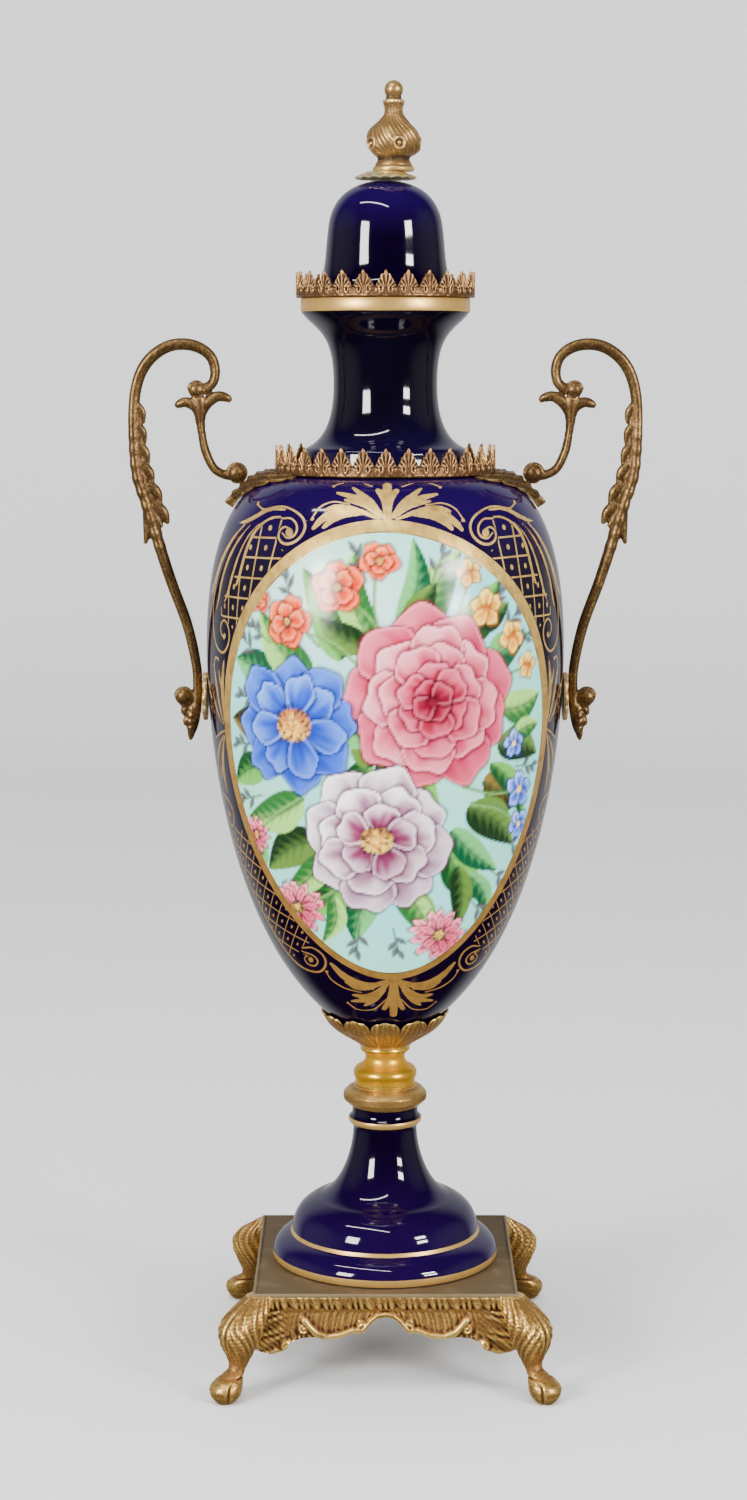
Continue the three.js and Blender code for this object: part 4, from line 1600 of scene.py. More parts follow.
LEAVES: tuple[Stops, ...] = (
    ((0.0, 106.6, 1.7), (0.0, 114, 1.3), (0.0, 121, 2.0), (0.0, 128.8, 1.7)),
    ((0.8, 109, 0.7), (1.7, 117, 1.0), (4.0, 123.4, 1.3)),
    ((2.2, 108.6, 0.6), (7.0, 116, 1.3), (11.8, 121.0, 1.3), (15.0, 124.9, 0.7)),
    ((2.4, 108.4, 0.6), (9.0, 115.6, 1.5), (15.6, 119.0, 1.5), (22.2, 121.0, 0.8)),
    ((3.4, 108.6, 0.6), (9.4, 113.6, 1.0), (14.6, 115.8, 1.0), (18.8, 116.8, 0.7)),
    ((4.0, 107.2, 0.5), (10.5, 110.0, 0.9), (18, 111.0, 1.5), (25, 109.4, 1.8), (30.4, 106, 1.5),
     (34.2, 102.0, 0.8)),
    ((12, 109.6, 0.7), (19.4, 108.8, 1.3), (25, 106.2, 1.3), (29.2, 102.6, 0.8)),
    ((9, 110.2, 0.6), (17, 113.0, 0.9), (23.6, 113.2, 0.9), (28.4, 111.2, 0.6)),
    ((49.6, 111.0, 0.4), (56, 111.2, 0.9), (63, 109.8, 1.4), (70, 106.8, 1.5), (78, 104.2, 1.3),
     (84, 103.4, 0.7)),
    ((52, 107.2, 0.5), (57, 106.8, 0.9), (63, 104.2, 1.1), (69.4, 98.8, 1.3), (73.6, 91.6, 1.4),
     (76.2, 84, 1.4), (79.4, 75.6, 1.2), (82.0, 73.8, 0.6)),
    ((61, 105.6, 0.4), (68.4, 102.0, 0.7), (75, 95.6, 0.9), (80, 88, 1.1), (84, 79, 1.3), (87.2, 71, 1.2),
     (91.0, 65.4, 0.7)),
    ((68, 105.4, 0.4), (75, 101.0, 0.7), (83, 94, 1.1), (90, 85.5, 1.4), (95, 76, 1.4), (98.0, 66, 1.1),
     (101.4, 60.4, 0.6)),
    ((74, 104.6, 0.4), (83, 99.5, 0.9), (92, 92.0, 1.3), (100, 83, 1.6), (107, 73, 1.5), (113, 66.0, 0.7)),
    ((91, 9, 0.7), (92.3, 18, 1.7), (93.0, 26, 2.1), (92.0, 34, 1.7), (90.2, 41, 0.7)),
    ((92.6, 24, 0.9), (95.6, 30.5, 1.2), (97.0, 36.4, 0.6)),
    ((92, 9, 0.6), (96.6, 18, 1.4), (100.3, 27, 1.6), (103.2, 36, 0.8)),
    ((93, 9, 0.6), (101.6, 16.6, 1.3), (108.6, 27.4, 0.7)),
    ((91.4, 6, 0.7), (95.0, -2, 1.6), (97.2, -10, 2.0), (96.6, -18, 1.5), (94.6, -24.5, 0.7)),
    ((96.4, -8, 0.9), (100.6, -14, 1.1), (102.4, -19.6, 0.6)),
    ((92.6, 5.4, 0.6), (100.6, -2, 1.4), (106.4, -10, 1.4), (109.6, -19, 0.7)),
    ((0.0, -110.6, 1.7), (0.0, -119, 1.4), (0.0, -129, 1.9), (0.0, -137.4, 1.6)),
    ((0.8, -112, 0.7), (1.8, -124, 1.1), (4.3, -132.4, 1.2)),
    ((2.6, -112.4, 0.7), (9.5, -116, 1.7), (16.5, -115.6, 2.2), (23.6, -111.4, 1.9), (30, -104.4, 0.8)),
    ((10, -117.6, 1.2), (17, -118, 1.6), (22.8, -115, 0.7)),
    ((2.6, -114, 0.8), (7, -120.4, 1.8), (12.6, -124, 1.8), (19.0, -123.4, 0.7)),
    ((5.6, -119.6, 1.3), (12, -126, 1.6), (19.6, -128, 0.7)),
    ((4.6, -119, 1.0), (9.4, -126.5, 1.4), (13.2, -130.4, 0.7)),
)
BEADS: tuple[Triple, ...] = (
    (46.7, 99.9, 2.0), (69.6, 113.9, 1.0), (24.2, 125.8, 0.9), (34.6, 106.6, 0.9), (89.6, 51.2, 1.2),
    (96.4, -34.0, 1.2), (41.4, -103.6, 1.6), (32.6, -109.8, 0.9), (21.6, -129.8, 0.8), (97.6, 40.0, 0.8),
)
LINES: tuple[Stops, ...] = (
    ((69.4, 113.0, 0.4), (64, 110.9, 0.45), (55.1, 112.4, 0.45), (49.8, 112.4, 0.5), (44.5, 110.6, 0.55),
     (39.9, 107.2, 0.6), (38.3, 103, 0.6), (40.2, 98.4, 0.6), (44.5, 95.2, 0.6), (49.4, 94.7, 0.6),
     (52.5, 97.1, 0.55), (52.2, 100.6, 0.5), (49.4, 102.5, 0.45), (47.2, 101.9, 0.4)),
    ((84, 98.5, 0.4), (95, 87.5, 0.45), (103, 74.5, 0.45), (105, 62, 0.45), (103.2, 51.6, 0.45),
     (98.6, 45.4, 0.5), (91.6, 43.4, 0.55), (86.8, 46.6, 0.55), (84.9, 51.6, 0.5), (86.5, 56.4, 0.45),
     (90.2, 58.2, 0.45), (93.6, 55.8, 0.45), (93.2, 52.2, 0.4), (90.8, 50.4, 0.4)),
    ((104.6, -24.6, 0.4), (98, -26.0, 0.45), (92.4, -28.6, 0.5), (90.4, -33, 0.5), (92.6, -38.2, 0.5),
     (97, -39.6, 0.45), (100, -36.6, 0.4), (98.6, -33.2, 0.4)),
    ((7.6, 127, 0.35), (13, 130.4, 0.4), (19, 129.6, 0.4), (23.8, 126.4, 0.35)),
    ((18, 114.9, 0.35), (24.6, 115.7, 0.4), (30.6, 112.8, 0.4), (34.8, 107.0, 0.35)),
    ((32.8, -110.4, 0.35), (30.4, -114.4, 0.4), (24, -118.9, 0.45), (16.5, -121.0, 0.35)),
    ((21.4, -130.2, 0.35), (16.6, -134.2, 0.4), (9.4, -133.2, 0.4), (4.2, -126.4, 0.35)),
    ((103, 36.6, 0.35), (100.6, 40.4, 0.4), (97.8, 39.6, 0.35)),
    ((89.4, 8.0, 0.4), (97, 5.4, 0.45), (105, 2.2, 0.35)),
)
INNER_LINES: tuple[Stops, ...] = (
    ((50.4, 106.6, 0.4), (46, 106.6, 0.45), (43.0, 103.9, 0.5), (42.6, 100.7, 0.5), (44.5, 98.1, 0.5),
     (48.0, 97.4, 0.45), (49.9, 98.9, 0.35)),
    ((104.4, -26, 0.4), (105.4, -36, 0.45), (99.6, -47.5, 0.45), (91.4, -58.5, 0.45), (82.6, -70.5, 0.5),
     (73.6, -83, 0.5), (65.2, -94.4, 0.5), (58.4, -102.4, 0.55), (51.6, -107.8, 0.6), (44.0, -110.8, 0.6),
     (36.8, -110.4, 0.6), (33.0, -105.6, 0.6), (34.0, -99.8, 0.55), (39.4, -96.2, 0.5),
     (45.0, -97.0, 0.45)),
    ((79, 102.2, 0.35), (90, 93.8, 0.4), (99.5, 82.5, 0.4), (107, 69.5, 0.35), (110.5, 58.5, 0.35)),
)
INNERMOST_LINES: tuple[Stops, ...] = (
    ((45.4, -99.4, 0.4), (39.4, -100.9, 0.5), (37.2, -103.9, 0.5), (39.3, -107.0, 0.5),
     (43.6, -106.6, 0.45), (45.4, -103.4, 0.4), (43.2, -101.6, 0.35)),
    ((86.8, 13.0, 0.35), (88.4, 23, 0.35), (87.0, 31, 0.35)),
)
UPPER_NET: tuple[Pair, ...] = (
    (50.6, 106), (60, 105), (68, 99.8), (72.6, 92), (76, 84), (85, 76), (91.6, 68), (95.6, 60.6),
    (90, 59), (80, 54), (60, 70), (44, 88), (53.4, 94.2), (54.0, 99), (51.4, 103.2),
)
LOWER_NET: tuple[Pair, ...] = (
    (96, -41.6), (99, -46), (91, -58), (82, -70), (73, -82.6), (64.6, -94), (57, -102.4), (50.4, -104.6),
    (47.6, -98), (40, -93), (60, -60), (80, -40), (89, -38),
)


class Gilder:
    """Works out where the gold lies on the front of the body, from its flat map."""

    OVAL_HALF = math.radians(64.0)
    OVAL_UP = 107.0
    OVAL_DOWN = 112.0
    FRAME = 6.4
    REACH = 6.0

    def __init__(self, across: np.ndarray, along: np.ndarray, angle: np.ndarray) -> None:
        """Centres the ornament, which leans a little, and folds it so that both sides match.

        Args:
            across: First numbers of the places on the map.
            along: Their second numbers.
            angle: Their angles round the body.
        """
        lean = 0.6 + 3.2 * ramp(0, -110, along)
        side = across - lean
        self.across = np.abs(side) + 0.35 * np.sin(along * 0.09 + np.sign(side)) * ramp(3, 14, np.abs(side))
        self.along = along + 0.4 * np.sin(across * 0.06)
        self.angle = np.abs(angle - lean / BODY_RADIUS)
        self.far = np.full(across.shape, FAR)

    def frame(self) -> tuple[np.ndarray, np.ndarray]:
        """Returns signed distances to the gold frame's outer and inner edge, negative inside."""
        half = self.OVAL_HALF
        tall = np.where(self.along > 0, self.OVAL_UP, self.OVAL_DOWN)
        inside = (self.angle / half) ** 2 + (self.along / tall) ** 2
        slope_x = 2 * self.angle / half**2 / BODY_RADIUS
        slope_y = 2 * self.along / tall**2
        outer = (inside - 1) / np.maximum(np.hypot(slope_x, slope_y), 0.006)
        return outer, outer + self.FRAME - 2.0 * ramp(-50, -108, self.along)

    def traced(self, stops: Stops) -> tuple[np.ndarray, Trace]:
        """Returns the numbers of the places near a curve, and how it lies to them.

        Args:
            stops: The curve's stops.

        Returns:
            The numbers and the trace.
        """
        curve = through(stops)
        chosen = near(curve, self.REACH, self.across, self.along)
        return chosen, trace(curve, self.across[chosen], self.along[chosen])

    def leaves(self) -> np.ndarray:
        """Returns the signed distance to the filled leaves and beads."""
        gap = self.far.copy()
        for stops in LEAVES:
            chosen, here = self.traced(stops)
            thin = 0.14 + 0.55 * ramp(50, 60, self.across[chosen])
            grain = 0.12 * np.sin(here.share * 40)
            gap[chosen] = np.minimum(gap[chosen], here.gap - here.half + thin - 0.2 + grain * 0.5)
        for x, y, radius in BEADS:
            gap = np.minimum(gap, np.hypot(self.across - x, self.along - y) - radius)
        return gap

    def lines(self, sets: Sequence[Stops]) -> tuple[np.ndarray, np.ndarray]:
        """Returns, for the nearest of some thin lines, the offset in half widths and the distance.

        Args:
            sets: Stops of each line.

        Returns:
            The offsets and the distances.
        """
        offset, gap = self.far.copy(), self.far.copy()
        for stops in sets:
            chosen, here = self.traced(stops)
            better = here.gap < gap[chosen]
            gap[chosen] = np.where(better, here.gap, gap[chosen])
            offset[chosen] = np.where(better, here.offset / here.half, offset[chosen])
        return offset, gap

    def net(self, outer: np.ndarray) -> tuple[np.ndarray, np.ndarray, np.ndarray]:
        """Returns the trellis's two counts and the signed distance to its field.

        Args:
            outer: Signed distance to the frame's outer edge.

        Returns:
            The counts and the distance.
        """
        x, y = self.across, self.along
        upper = y > 0
        pitch = np.maximum(10.4 - 0.1 * (90 - y), 6.0)
        first = np.where(upper, (x - 55.5 - 0.27 * (90 - y)) / pitch, (x + 0.55 * y) / 7.6)
        second = np.where(upper, (y - 60) / 9.3, (y - 0.35 * x) / 9.0)
        region = np.minimum(self.polygon(UPPER_NET), self.polygon(LOWER_NET))
        return first, second, np.maximum(region, 0.2 - outer)

    def polygon(self, corners: Sequence[Pair]) -> np.ndarray:
        """Returns the signed distance to a closed outline.

        Args:
            corners: Its corners in order.

        Returns:
            The distance, negative inside.
        """
        x, y = self.across, self.along
        gap = self.far.copy() ** 2
        inside = np.zeros(x.shape, bool)
        for start, end in zip(corners, list(corners[1:]) + [corners[0]]):
            run_x, run_y = end[0] - start[0], end[1] - start[1]
            dx, dy = x - start[0], y - start[1]
            share = np.clip((dx * run_x + dy * run_y) / (run_x**2 + run_y**2), 0, 1)
            gap = np.minimum(gap, (dx - share * run_x) ** 2 + (dy - share * run_y) ** 2)
            if start[1] != end[1]:
                crosses = (start[1] > y) != (end[1] > y)
                inside ^= crosses & (x < start[0] + run_x * dy / (end[1] - start[1]))
        return np.sqrt(gap) * np.where(inside, -1, 1)


class Canvas:
    """The painted oval: a ground colour and everything laid over it, one colour per place of the skin."""

    LIGHT = math.radians(125)
    GROUND = srgb(120, 206, 210)
    GREEN = srgb(142, 212, 188)
    # colour of the painted highlight on the oval's ground
    PAINTED_HIGHLIGHT = srgb(210, 236, 230)
    VEIN = srgb(40, 70, 50)

    def __init__(self, across: np.ndarray, along: np.ndarray) -> None:
        """Lays the pale ground, clouded, with a painted highlight: a soft white patch at its upper left.

        Args:
            across: First numbers of the places on the map.
            along: Their second numbers.
        """
        self.x, self.y = across, along
        # painted highlight: a soft patch towards white at the oval's upper left, for glare on the glaze
        painted_light = np.exp(-(((across + 26) / 40) ** 2) - ((along - 70) / 26) ** 2)
        cloud = 0.5 + 0.25 * np.sin(across * 0.055 + along * 0.03)
        cloud = np.clip(cloud + 0.25 * np.sin(along * 0.06 - across * 0.02 + 2), 0, 1)
        self.colour = toward(between(self.GROUND, self.GREEN, cloud), self.PAINTED_HIGHLIGHT, painted_light, 0.8)
        self.rng = np.random.default_rng(11)

    def lay(self, chosen: np.ndarray, colour: np.ndarray, cover: np.ndarray) -> None:
        """Lays colour over some places, as far as it covers each of them."""
        self.colour[chosen] += (colour - self.colour[chosen]) * cover[:, None]

    def stroke(
        self, stops: Sequence[Triple], dark: Colour, light: Colour, cover: float = 1.0, soft: float = 0.55
    ) -> None:
        """Lays one stroke of a brush that carries two colours, side by side.

        Args:
            stops: Places with the stroke's half width at each.
            dark: Colour at the stroke's left edge.
            light: Colour at its right edge.
            cover: How opaque the paint is.
            soft: Softness of the edge in millimetres.
        """
        curve = through(stops, 5)
        chosen = near(curve, curve[:, 2].max() + 1.5, self.x, self.y)
        if not len(chosen):
            return
        here = trace(curve, self.x[chosen], self.y[chosen])
        side = np.clip(here.offset / np.maximum(here.half, 0.2), -1, 1)
        hair = 0.5 + 0.5 * np.sin(side * 9 + self.rng.uniform(0, 6) + here.share * 1.5)
        share = np.clip(0.5 + side * 0.55 + (hair - 0.5) * 0.3, 0, 1)
        mask = ramp(soft, -soft, here.gap - here.half) * cover * (0.86 + 0.14 * hair)
        self.lay(chosen, between(dark, light, share), mask)

    def petal(
        self, centre: Pair, angle: float, reach: Pair, width: float, tones: Sequence[Colour], curl: float,
        notch: float, veins: float,
    ) -> None:
        """Lays one petal.

        Args:
            centre: The flower's middle.
            angle: Direction of the petal in radians, from the right, anticlockwise.
            reach: How far its root and its tip lie from the middle.
            width: Its greatest half width.
            tones: Colour at the root, in the middle, at the tip and along its outline.
            curl: How far the tip leans sideways.
            notch: Depth of the waves in its tip, as a share of its length.
            veins: Strength of the fine lines along it.
        """
        chosen = near(np.array([centre]), reach[1] + width, self.x, self.y)
        if not len(chosen):
            return
        dx, dy = self.x[chosen] - centre[0], self.y[chosen] - centre[1]
        length = reach[1] - reach[0]
        along = (dx * math.cos(angle) + dy * math.sin(angle) - reach[0]) / length
        side = (-dx * math.sin(angle) + dy * math.cos(angle)) / width - curl * np.clip(along, 0, 1) ** 2
        wide = 0.22 + 0.78 * np.sin(math.pi * np.clip(np.clip(along, 1e-3, 1) ** 0.8 * 0.62, 0, 0.5))
        wave = notch * (np.cos(side * 5.5 + self.rng.uniform(0, 6)) - 1) * 0.5
        tip = 1 + wave - 0.38 * np.abs(side) ** 2.6
        edge = np.minimum((wide - np.abs(side)) * width, (tip - along) * length)
        edge = np.minimum(edge, along * length + 1.5)
        root, middle, tone, outline = (np.array(colour) for colour in tones)
        dim = 0.5 - 0.5 * math.cos(angle - self.LIGHT)
        middle, tone = middle + (root - middle) * 0.4 * dim, tone + (middle - tone) * 0.6 * dim
        colour = between(root, middle, ramp(0.0, 0.5, along))
        second = ramp(0.45, 0.95, along + 0.12 * np.sin(side * 4))[:, None]
        colour = colour * (1 - second) + tone * second
        phase = self.rng.uniform(0, 6)
        ratio = side / np.maximum(wide, 0.2)
        fan = np.sin(ratio * 11 + phase) * 0.5 + np.sin(ratio * 5.3 + phase * 2) * 0.5
        facing = side * math.cos(angle + math.pi / 2 - self.LIGHT)
        bright, brighter, brightest = (
            np.clip(tone * gain + lift, 0, 1) for gain, lift in ((1.12, 0), (1.15, 0.03), (1.15, 0.05))
        )
        for goal, share, strength in (
            (root, np.clip(fan, 0, 1) * ramp(1.0, 0.15, along) * veins, 0.75),
            (bright, np.clip(-fan, 0, 1) * ramp(0.2, 0.8, along) * veins, 0.6),
            (root, ramp(0.0, -1.0, facing), 0.42),
            (brighter, ramp(0.15, 1.0, facing), 0.4),
            (brightest, ramp(2.2, 0.9, edge), 0.6),
        ):
            colour = toward(colour, goal, share, strength)
        drop = ramp(-2.3, -0.2, edge) * ramp(1.2, 0.2, edge) * 0.8
        self.lay(chosen, outline[None, :], drop)
        self.lay(chosen, colour, ramp(-0.35, 0.45, edge))

    def leaf(self, root: Pair, tip: Pair, width: float, dark: Colour, light: Colour, bend: float) -> None:
        """Lays one leaf: a light half, a dark half, a midrib and side veins.

        Args:
            root: Where it starts.
            tip: Where it ends.
            width: Its greatest half width.
            dark: Colour of its shaded half.
            light: Colour of its lit half.
            bend: How far its middle bows sideways.
        """
        run = np.array(tip) - np.array(root)
        length = float(np.hypot(*run))
        axis = run / length
        middle = (np.array(root) + np.array(tip)) / 2
        chosen = near(middle[None, :], length / 2 + width + abs(bend) + 2, self.x, self.y)
        if not len(chosen):
            return
        dx, dy = self.x[chosen] - root[0], self.y[chosen] - root[1]
        along = (dx * axis[0] + dy * axis[1]) / length
        body = np.clip(along, 0, 1)
        side = (-dx * axis[1] + dy * axis[0]) - bend * np.sin(math.pi * body)
        half = width * np.sin(math.pi * body**0.72) ** 0.8 + 0.15
        edge = np.minimum(half - np.abs(side), np.minimum(along * length + 0.5, (1.01 - along) * length))
        ratio = np.clip(side / np.maximum(half, 0.3), -1, 1)
        veining = 0.5 + 0.5 * np.sin((along * length - np.abs(side) * 0.8) * 1.25)
        share = np.clip(0.5 + 0.62 * np.tanh(ratio * 2.4) + (veining - 0.5) * 0.28, 0, 1)
        colour = between(dark, light, share)
        tip_light = ramp(0.55, 1.0, along)[:, None] * 0.35
        colour = colour + (np.clip(np.array(light) * 1.35, 0, 1) - colour) * tip_light * share[:, None]
        colour = toward(colour, self.VEIN, np.exp(-((side / 0.55) ** 2)) * 0.7 * ramp(1.0, 0.8, along))
        colour = toward(colour, self.VEIN, ramp(1.1, 0.0, edge) * (ratio < 0) * 0.5)
        self.lay(chosen, colour, ramp(-0.4, 0.4, edge))

    def dots(self, centre: Pair, radii: Pair, count: int, size: float, colours: Sequence[Colour]) -> None:
        """Scatters short dabs in a ring, as stamens.

        Args:
            centre: The ring's middle.
            radii: Its least and greatest radius.
            count: Number of dabs.
            size: Half width of a dab.
            colours: Colours in turn.
        """
        for index in range(count):
            turn = TURN * (index + self.rng.uniform(-0.3, 0.3)) / count
            far = self.rng.uniform(*radii)
            x, y = centre[0] + far * math.cos(turn), centre[1] + far * math.sin(turn)
            colour = colours[index % len(colours)]
            inner = (x - 1.3 * math.cos(turn), y - 1.3 * math.sin(turn), size * 0.6)
            self.stroke([inner, (x, y, size)], colour, colour, 0.95, 0.4)


@dataclass(frozen=True)
class Blossom:
    """A generic flower of rings of petals round a middle, in colours of 0 to 255 as screens show them.

    Each ring is a number of petals, and where a petal starts, where it ends and how wide it is, as shares
    of the flower's radius.
    """

    rings: tuple[tuple[int, float, float, float], ...]
    tones: tuple[tuple[Screen, Screen, Screen, Screen], ...]
    heart: tuple[Screen, Screen]
    heart_size: float
    stamens: int = 0
    stalks: tuple[Screen, Screen] = ((30, 26, 44), (60, 44, 40))
    pollen: tuple[Screen, Screen] = ((240, 196, 96), (176, 104, 30))

    def paint(self, canvas: Canvas, centre: Pair, size: float, turn: float) -> None:
        """Paints it.

        Args:
            canvas: The painted oval.
            centre: The flower's middle on the map.
            size: Its radius in millimetres.
            turn: Angle of its first petal.
        """
        for ring, (count, root, tip, width) in enumerate(self.rings):
            tones = [srgb(*tone) for tone in self.tones[ring]]
            for index in (*range(0, count, 2), *range(1, count, 2)):
                wobble = canvas.rng.uniform(-0.1, 0.1)
                angle = turn + ring * 0.45 + TURN * index / count + wobble
                reach = size * tip * canvas.rng.uniform(0.93, 1.05)
                curl, notch = canvas.rng.uniform(-0.18, 0.18), canvas.rng.uniform(0.04, 0.12)
                canvas.petal(centre, angle, (size * root, reach), size * width, tones, curl, notch, 0.75)
        x, y = centre
        radius = size * self.heart_size
        heart = [(x - radius * 0.2, y, radius), (x + radius * 0.2, y, radius)]
        canvas.stroke(heart, *(srgb(*tone) for tone in self.heart))
        for start, end, dab, tones in ((0.75, 1.35, 0.75, self.stalks), (0.1, 0.7, 0.7, self.pollen)):
            radii = (radius * start, radius * end)
            canvas.dots(centre, radii, self.stamens, dab, [srgb(*tone) for tone in tones])


PEONY = Blossom(
    rings=(
        (9, 0.30, 1.0, 0.36), (8, 0.22, 0.80, 0.31), (7, 0.12, 0.60, 0.27), (6, 0.06, 0.42, 0.21),
        (4, 0.0, 0.25, 0.15),
    ),
    tones=(
        ((120, 8, 40), (186, 40, 78), (216, 104, 128), (90, 6, 28)),
        ((134, 12, 46), (200, 58, 92), (238, 158, 172), (96, 8, 30)),
        ((126, 10, 42), (190, 48, 82), (232, 138, 156), (84, 6, 26)),
        ((100, 4, 28), (168, 28, 60), (212, 98, 124), (60, 2, 16)),
        ((76, 2, 18), (132, 12, 42), (184, 60, 90), (44, 0, 10)),
    ),
    heart=((60, 4, 18), (120, 14, 40)), heart_size=0.055,
)
CLEMATIS = Blossom(
    rings=((8, 0.16, 1.0, 0.34), (7, 0.14, 0.78, 0.25)),
    tones=(
        ((8, 22, 116), (20, 62, 190), (66, 118, 222), (6, 12, 72)),
        ((10, 28, 132), (32, 80, 204), (98, 146, 232), (8, 16, 84)),
    ),
    heart=((176, 96, 16), (244, 184, 70)), heart_size=0.22, stamens=30,
)
CAMELLIA = Blossom(
    rings=((8, 0.26, 1.0, 0.38), (7, 0.2, 0.76, 0.31), (5, 0.12, 0.52, 0.24)),
    tones=(
        ((88, 40, 74), (150, 112, 138), (232, 222, 226), (58, 24, 50)),
        ((84, 28, 62), (156, 110, 136), (246, 238, 238), (56, 18, 44)),
        ((78, 10, 44), (138, 62, 100), (228, 206, 216), (46, 6, 28)),
    ),
    heart=((160, 96, 20), (240, 196, 86)), heart_size=0.17, stamens=22,
)
POPPY = Blossom(
    rings=((5, 0.1, 1.0, 0.46), (4, 0.06, 0.7, 0.34)),
    tones=(
        ((160, 22, 4), (222, 52, 12), (246, 116, 66), (104, 14, 4)),
        ((154, 18, 4), (228, 64, 20), (250, 138, 86), (96, 12, 4)),
    ),
    heart=((60, 50, 20), (150, 140, 50)), heart_size=0.16, stamens=10,
)
PRIMROSE = Blossom(
    rings=((5, 0.1, 1.0, 0.42),),
    tones=(((190, 96, 10), (232, 158, 30), (250, 214, 100), (136, 66, 8)),),
    heart=((140, 60, 10), (214, 120, 24)), heart_size=0.2,
)
DAISY = Blossom(
    rings=((13, 0.2, 1.0, 0.17), (11, 0.16, 0.74, 0.14)),
    tones=(
        ((132, 8, 38), (198, 50, 84), (240, 150, 168), (84, 6, 26)),
        ((112, 6, 30), (172, 32, 64), (226, 112, 138), (72, 4, 20)),
    ),
    heart=((60, 84, 30), (190, 176, 60)), heart_size=0.19, stamens=10,
)
SPEEDWELL = Blossom(
    rings=((5, 0.1, 1.0, 0.4),),
    tones=(((16, 40, 150), (50, 96, 208), (146, 180, 240), (12, 22, 96)),),
    heart=((230, 200, 90), (250, 236, 160)), heart_size=0.17,
)
GREENS: tuple[tuple[Screen, Screen], ...] = (
    ((16, 64, 28), (96, 168, 70)), ((34, 96, 42), (146, 200, 100)), ((20, 44, 20), (84, 118, 48)),
    ((46, 38, 12), (118, 98, 38)), ((12, 72, 44), (92, 172, 98)),
)
FOLIAGE: tuple[tuple[float, float, float, float, float, int, float], ...] = (
    (18, 58, 34, 92, 9, 1, 4), (30, 52, 54, 78, 9, 0, -3), (48, 38, 72, 54, 8, 4, 3),
    (56, 20, 82, 26, 8, 1, -2), (54, 4, 82, -2, 8.5, 2, 3), (46, -12, 76, -20, 9.5, 3, -3),
    (38, -24, 66, -44, 10, 2, 3), (28, -44, 50, -70, 9, 0, -3), (6, -60, 22, -90, 8, 1, 2),
    (-6, -60, -14, -90, 8, 4, -2), (-18, -52, -38, -78, 9, 0, 3), (-30, -38, -60, -56, 10, 2, -3),
    (-38, -20, -72, -32, 9.5, 1, 3), (-60, -6, -82, -16, 8, 0, -2), (-58, 16, -82, 14, 8, 3, 2),
    (-54, 32, -78, 42, 9, 4, -2), (-34, 36, -62, 64, 9, 1, 3), (-20, 44, -38, 84, 9, 0, -3),
    (-6, 52, -14, 92, 7.5, 1, 5), (6, 60, 12, 98, 6, 4, -5), (-24, -66, -30, -92, 5, 1, 4),
    (38, -56, 52, -82, 5.5, 4, 4), (64, 8, 82, 12, 5, 1, 1), (-62, -44, -72, -60, 5, 4, 1),
    (40, 60, 60, 68, 6, 2, -2), (-46, 24, -70, 28, 7, 2, 2), (30, -34, 56, -56, 7, 4, -2),
    (-26, -46, -50, -68, 7, 1, 2), (-8, -2, -22, -26, 9, 0, 3), (-8, -4, -12, 24, 9, 2, -3),
    (-4, 0, 24, -22, 9, 0, 3), (-6, 6, -30, 30, 8, 4, 2), (50, -4, 74, -34, 6, 0, 4),
    (-8, 50, -30, 62, 7, 2, 2), (12, 54, 22, 78, 7, 2, 2), (34, -52, 34, -84, 6, 2, 2),
)
STEMS: tuple[tuple[float, float, float, float, float], ...] = (
    (2, 40, -22, 74, 4), (-10, 40, -46, 58, 3), (0, 50, -4, 88, -3), (-30, 50, -60, 68, 2),
    (34, 44, 46, 66, 2), (40, 40, 62, 52, -2), (30, 58, 38, 84, 2), (46, 30, 70, 38, 2),
    (-12, -56, -42, -74, -3), (12, -60, 24, -86, 3), (36, -14, 68, -18, -2), (40, -22, 68, -34, 2),
    (-40, -20, -66, -38, 2),
)
BLOOMS: tuple[tuple[Blossom, float, float, float, float], ...] = (
    (POPPY, -22, 76, 12.5, 0.4), (POPPY, -46, 60, 12, 1.3), (POPPY, -3, 88, 9, 0.9),
    (POPPY, -62, 69, 6, 0.2), (PRIMROSE, 47, 66, 8.5, 0.3), (PRIMROSE, 62, 53, 7.5, 1.0),
    (PRIMROSE, 38, 82, 6.5, 0.6), (PRIMROSE, 72, 39, 6, 0.1), (SPEEDWELL, 69, -18, 9, 0.3),
    (SPEEDWELL, 70, -35, 7, 0.9), (SPEEDWELL, 64, 4, 6.5, 0.5), (DAISY, -43, -74, 15, 0.2),
    (DAISY, 25, -87, 14.5, 0.5), (DAISY, -68, -40, 9.5, 0.9), (PEONY, 21, 26, 42, 0.3),
    (CLEMATIS, -43, 14, 33, 0.1), (CAMELLIA, -4, -38, 36, 0.6),
)
SPRIGS: tuple[tuple[float, float, float, float], ...] = (
    (-10, 93, 1.9, 9), (24, 92, 1.2, 9), (66, 64, 0.8, 9), (-72, 50, 2.5, 10), (-74, 28, 3.0, 8),
    (-74, -24, 3.4, 9), (-58, -72, 4.0, 10), (-14, -96, 4.6, 9), (48, -82, 5.4, 9), (70, -50, 5.9, 9),
    (78, -8, 6.2, 8), (76, 56, 0.6, 8), (-50, 80, 2.0, 9), (4, -98, 4.9, 8), (-66, 60, 2.6, 8),
    (56, 74, 1.0, 9), (62, -66, 5.6, 8), (-78, 4, 3.2, 8),
)
SPRIG_TONES: tuple[Colour, Colour] = (srgb(44, 50, 54), srgb(96, 92, 96))


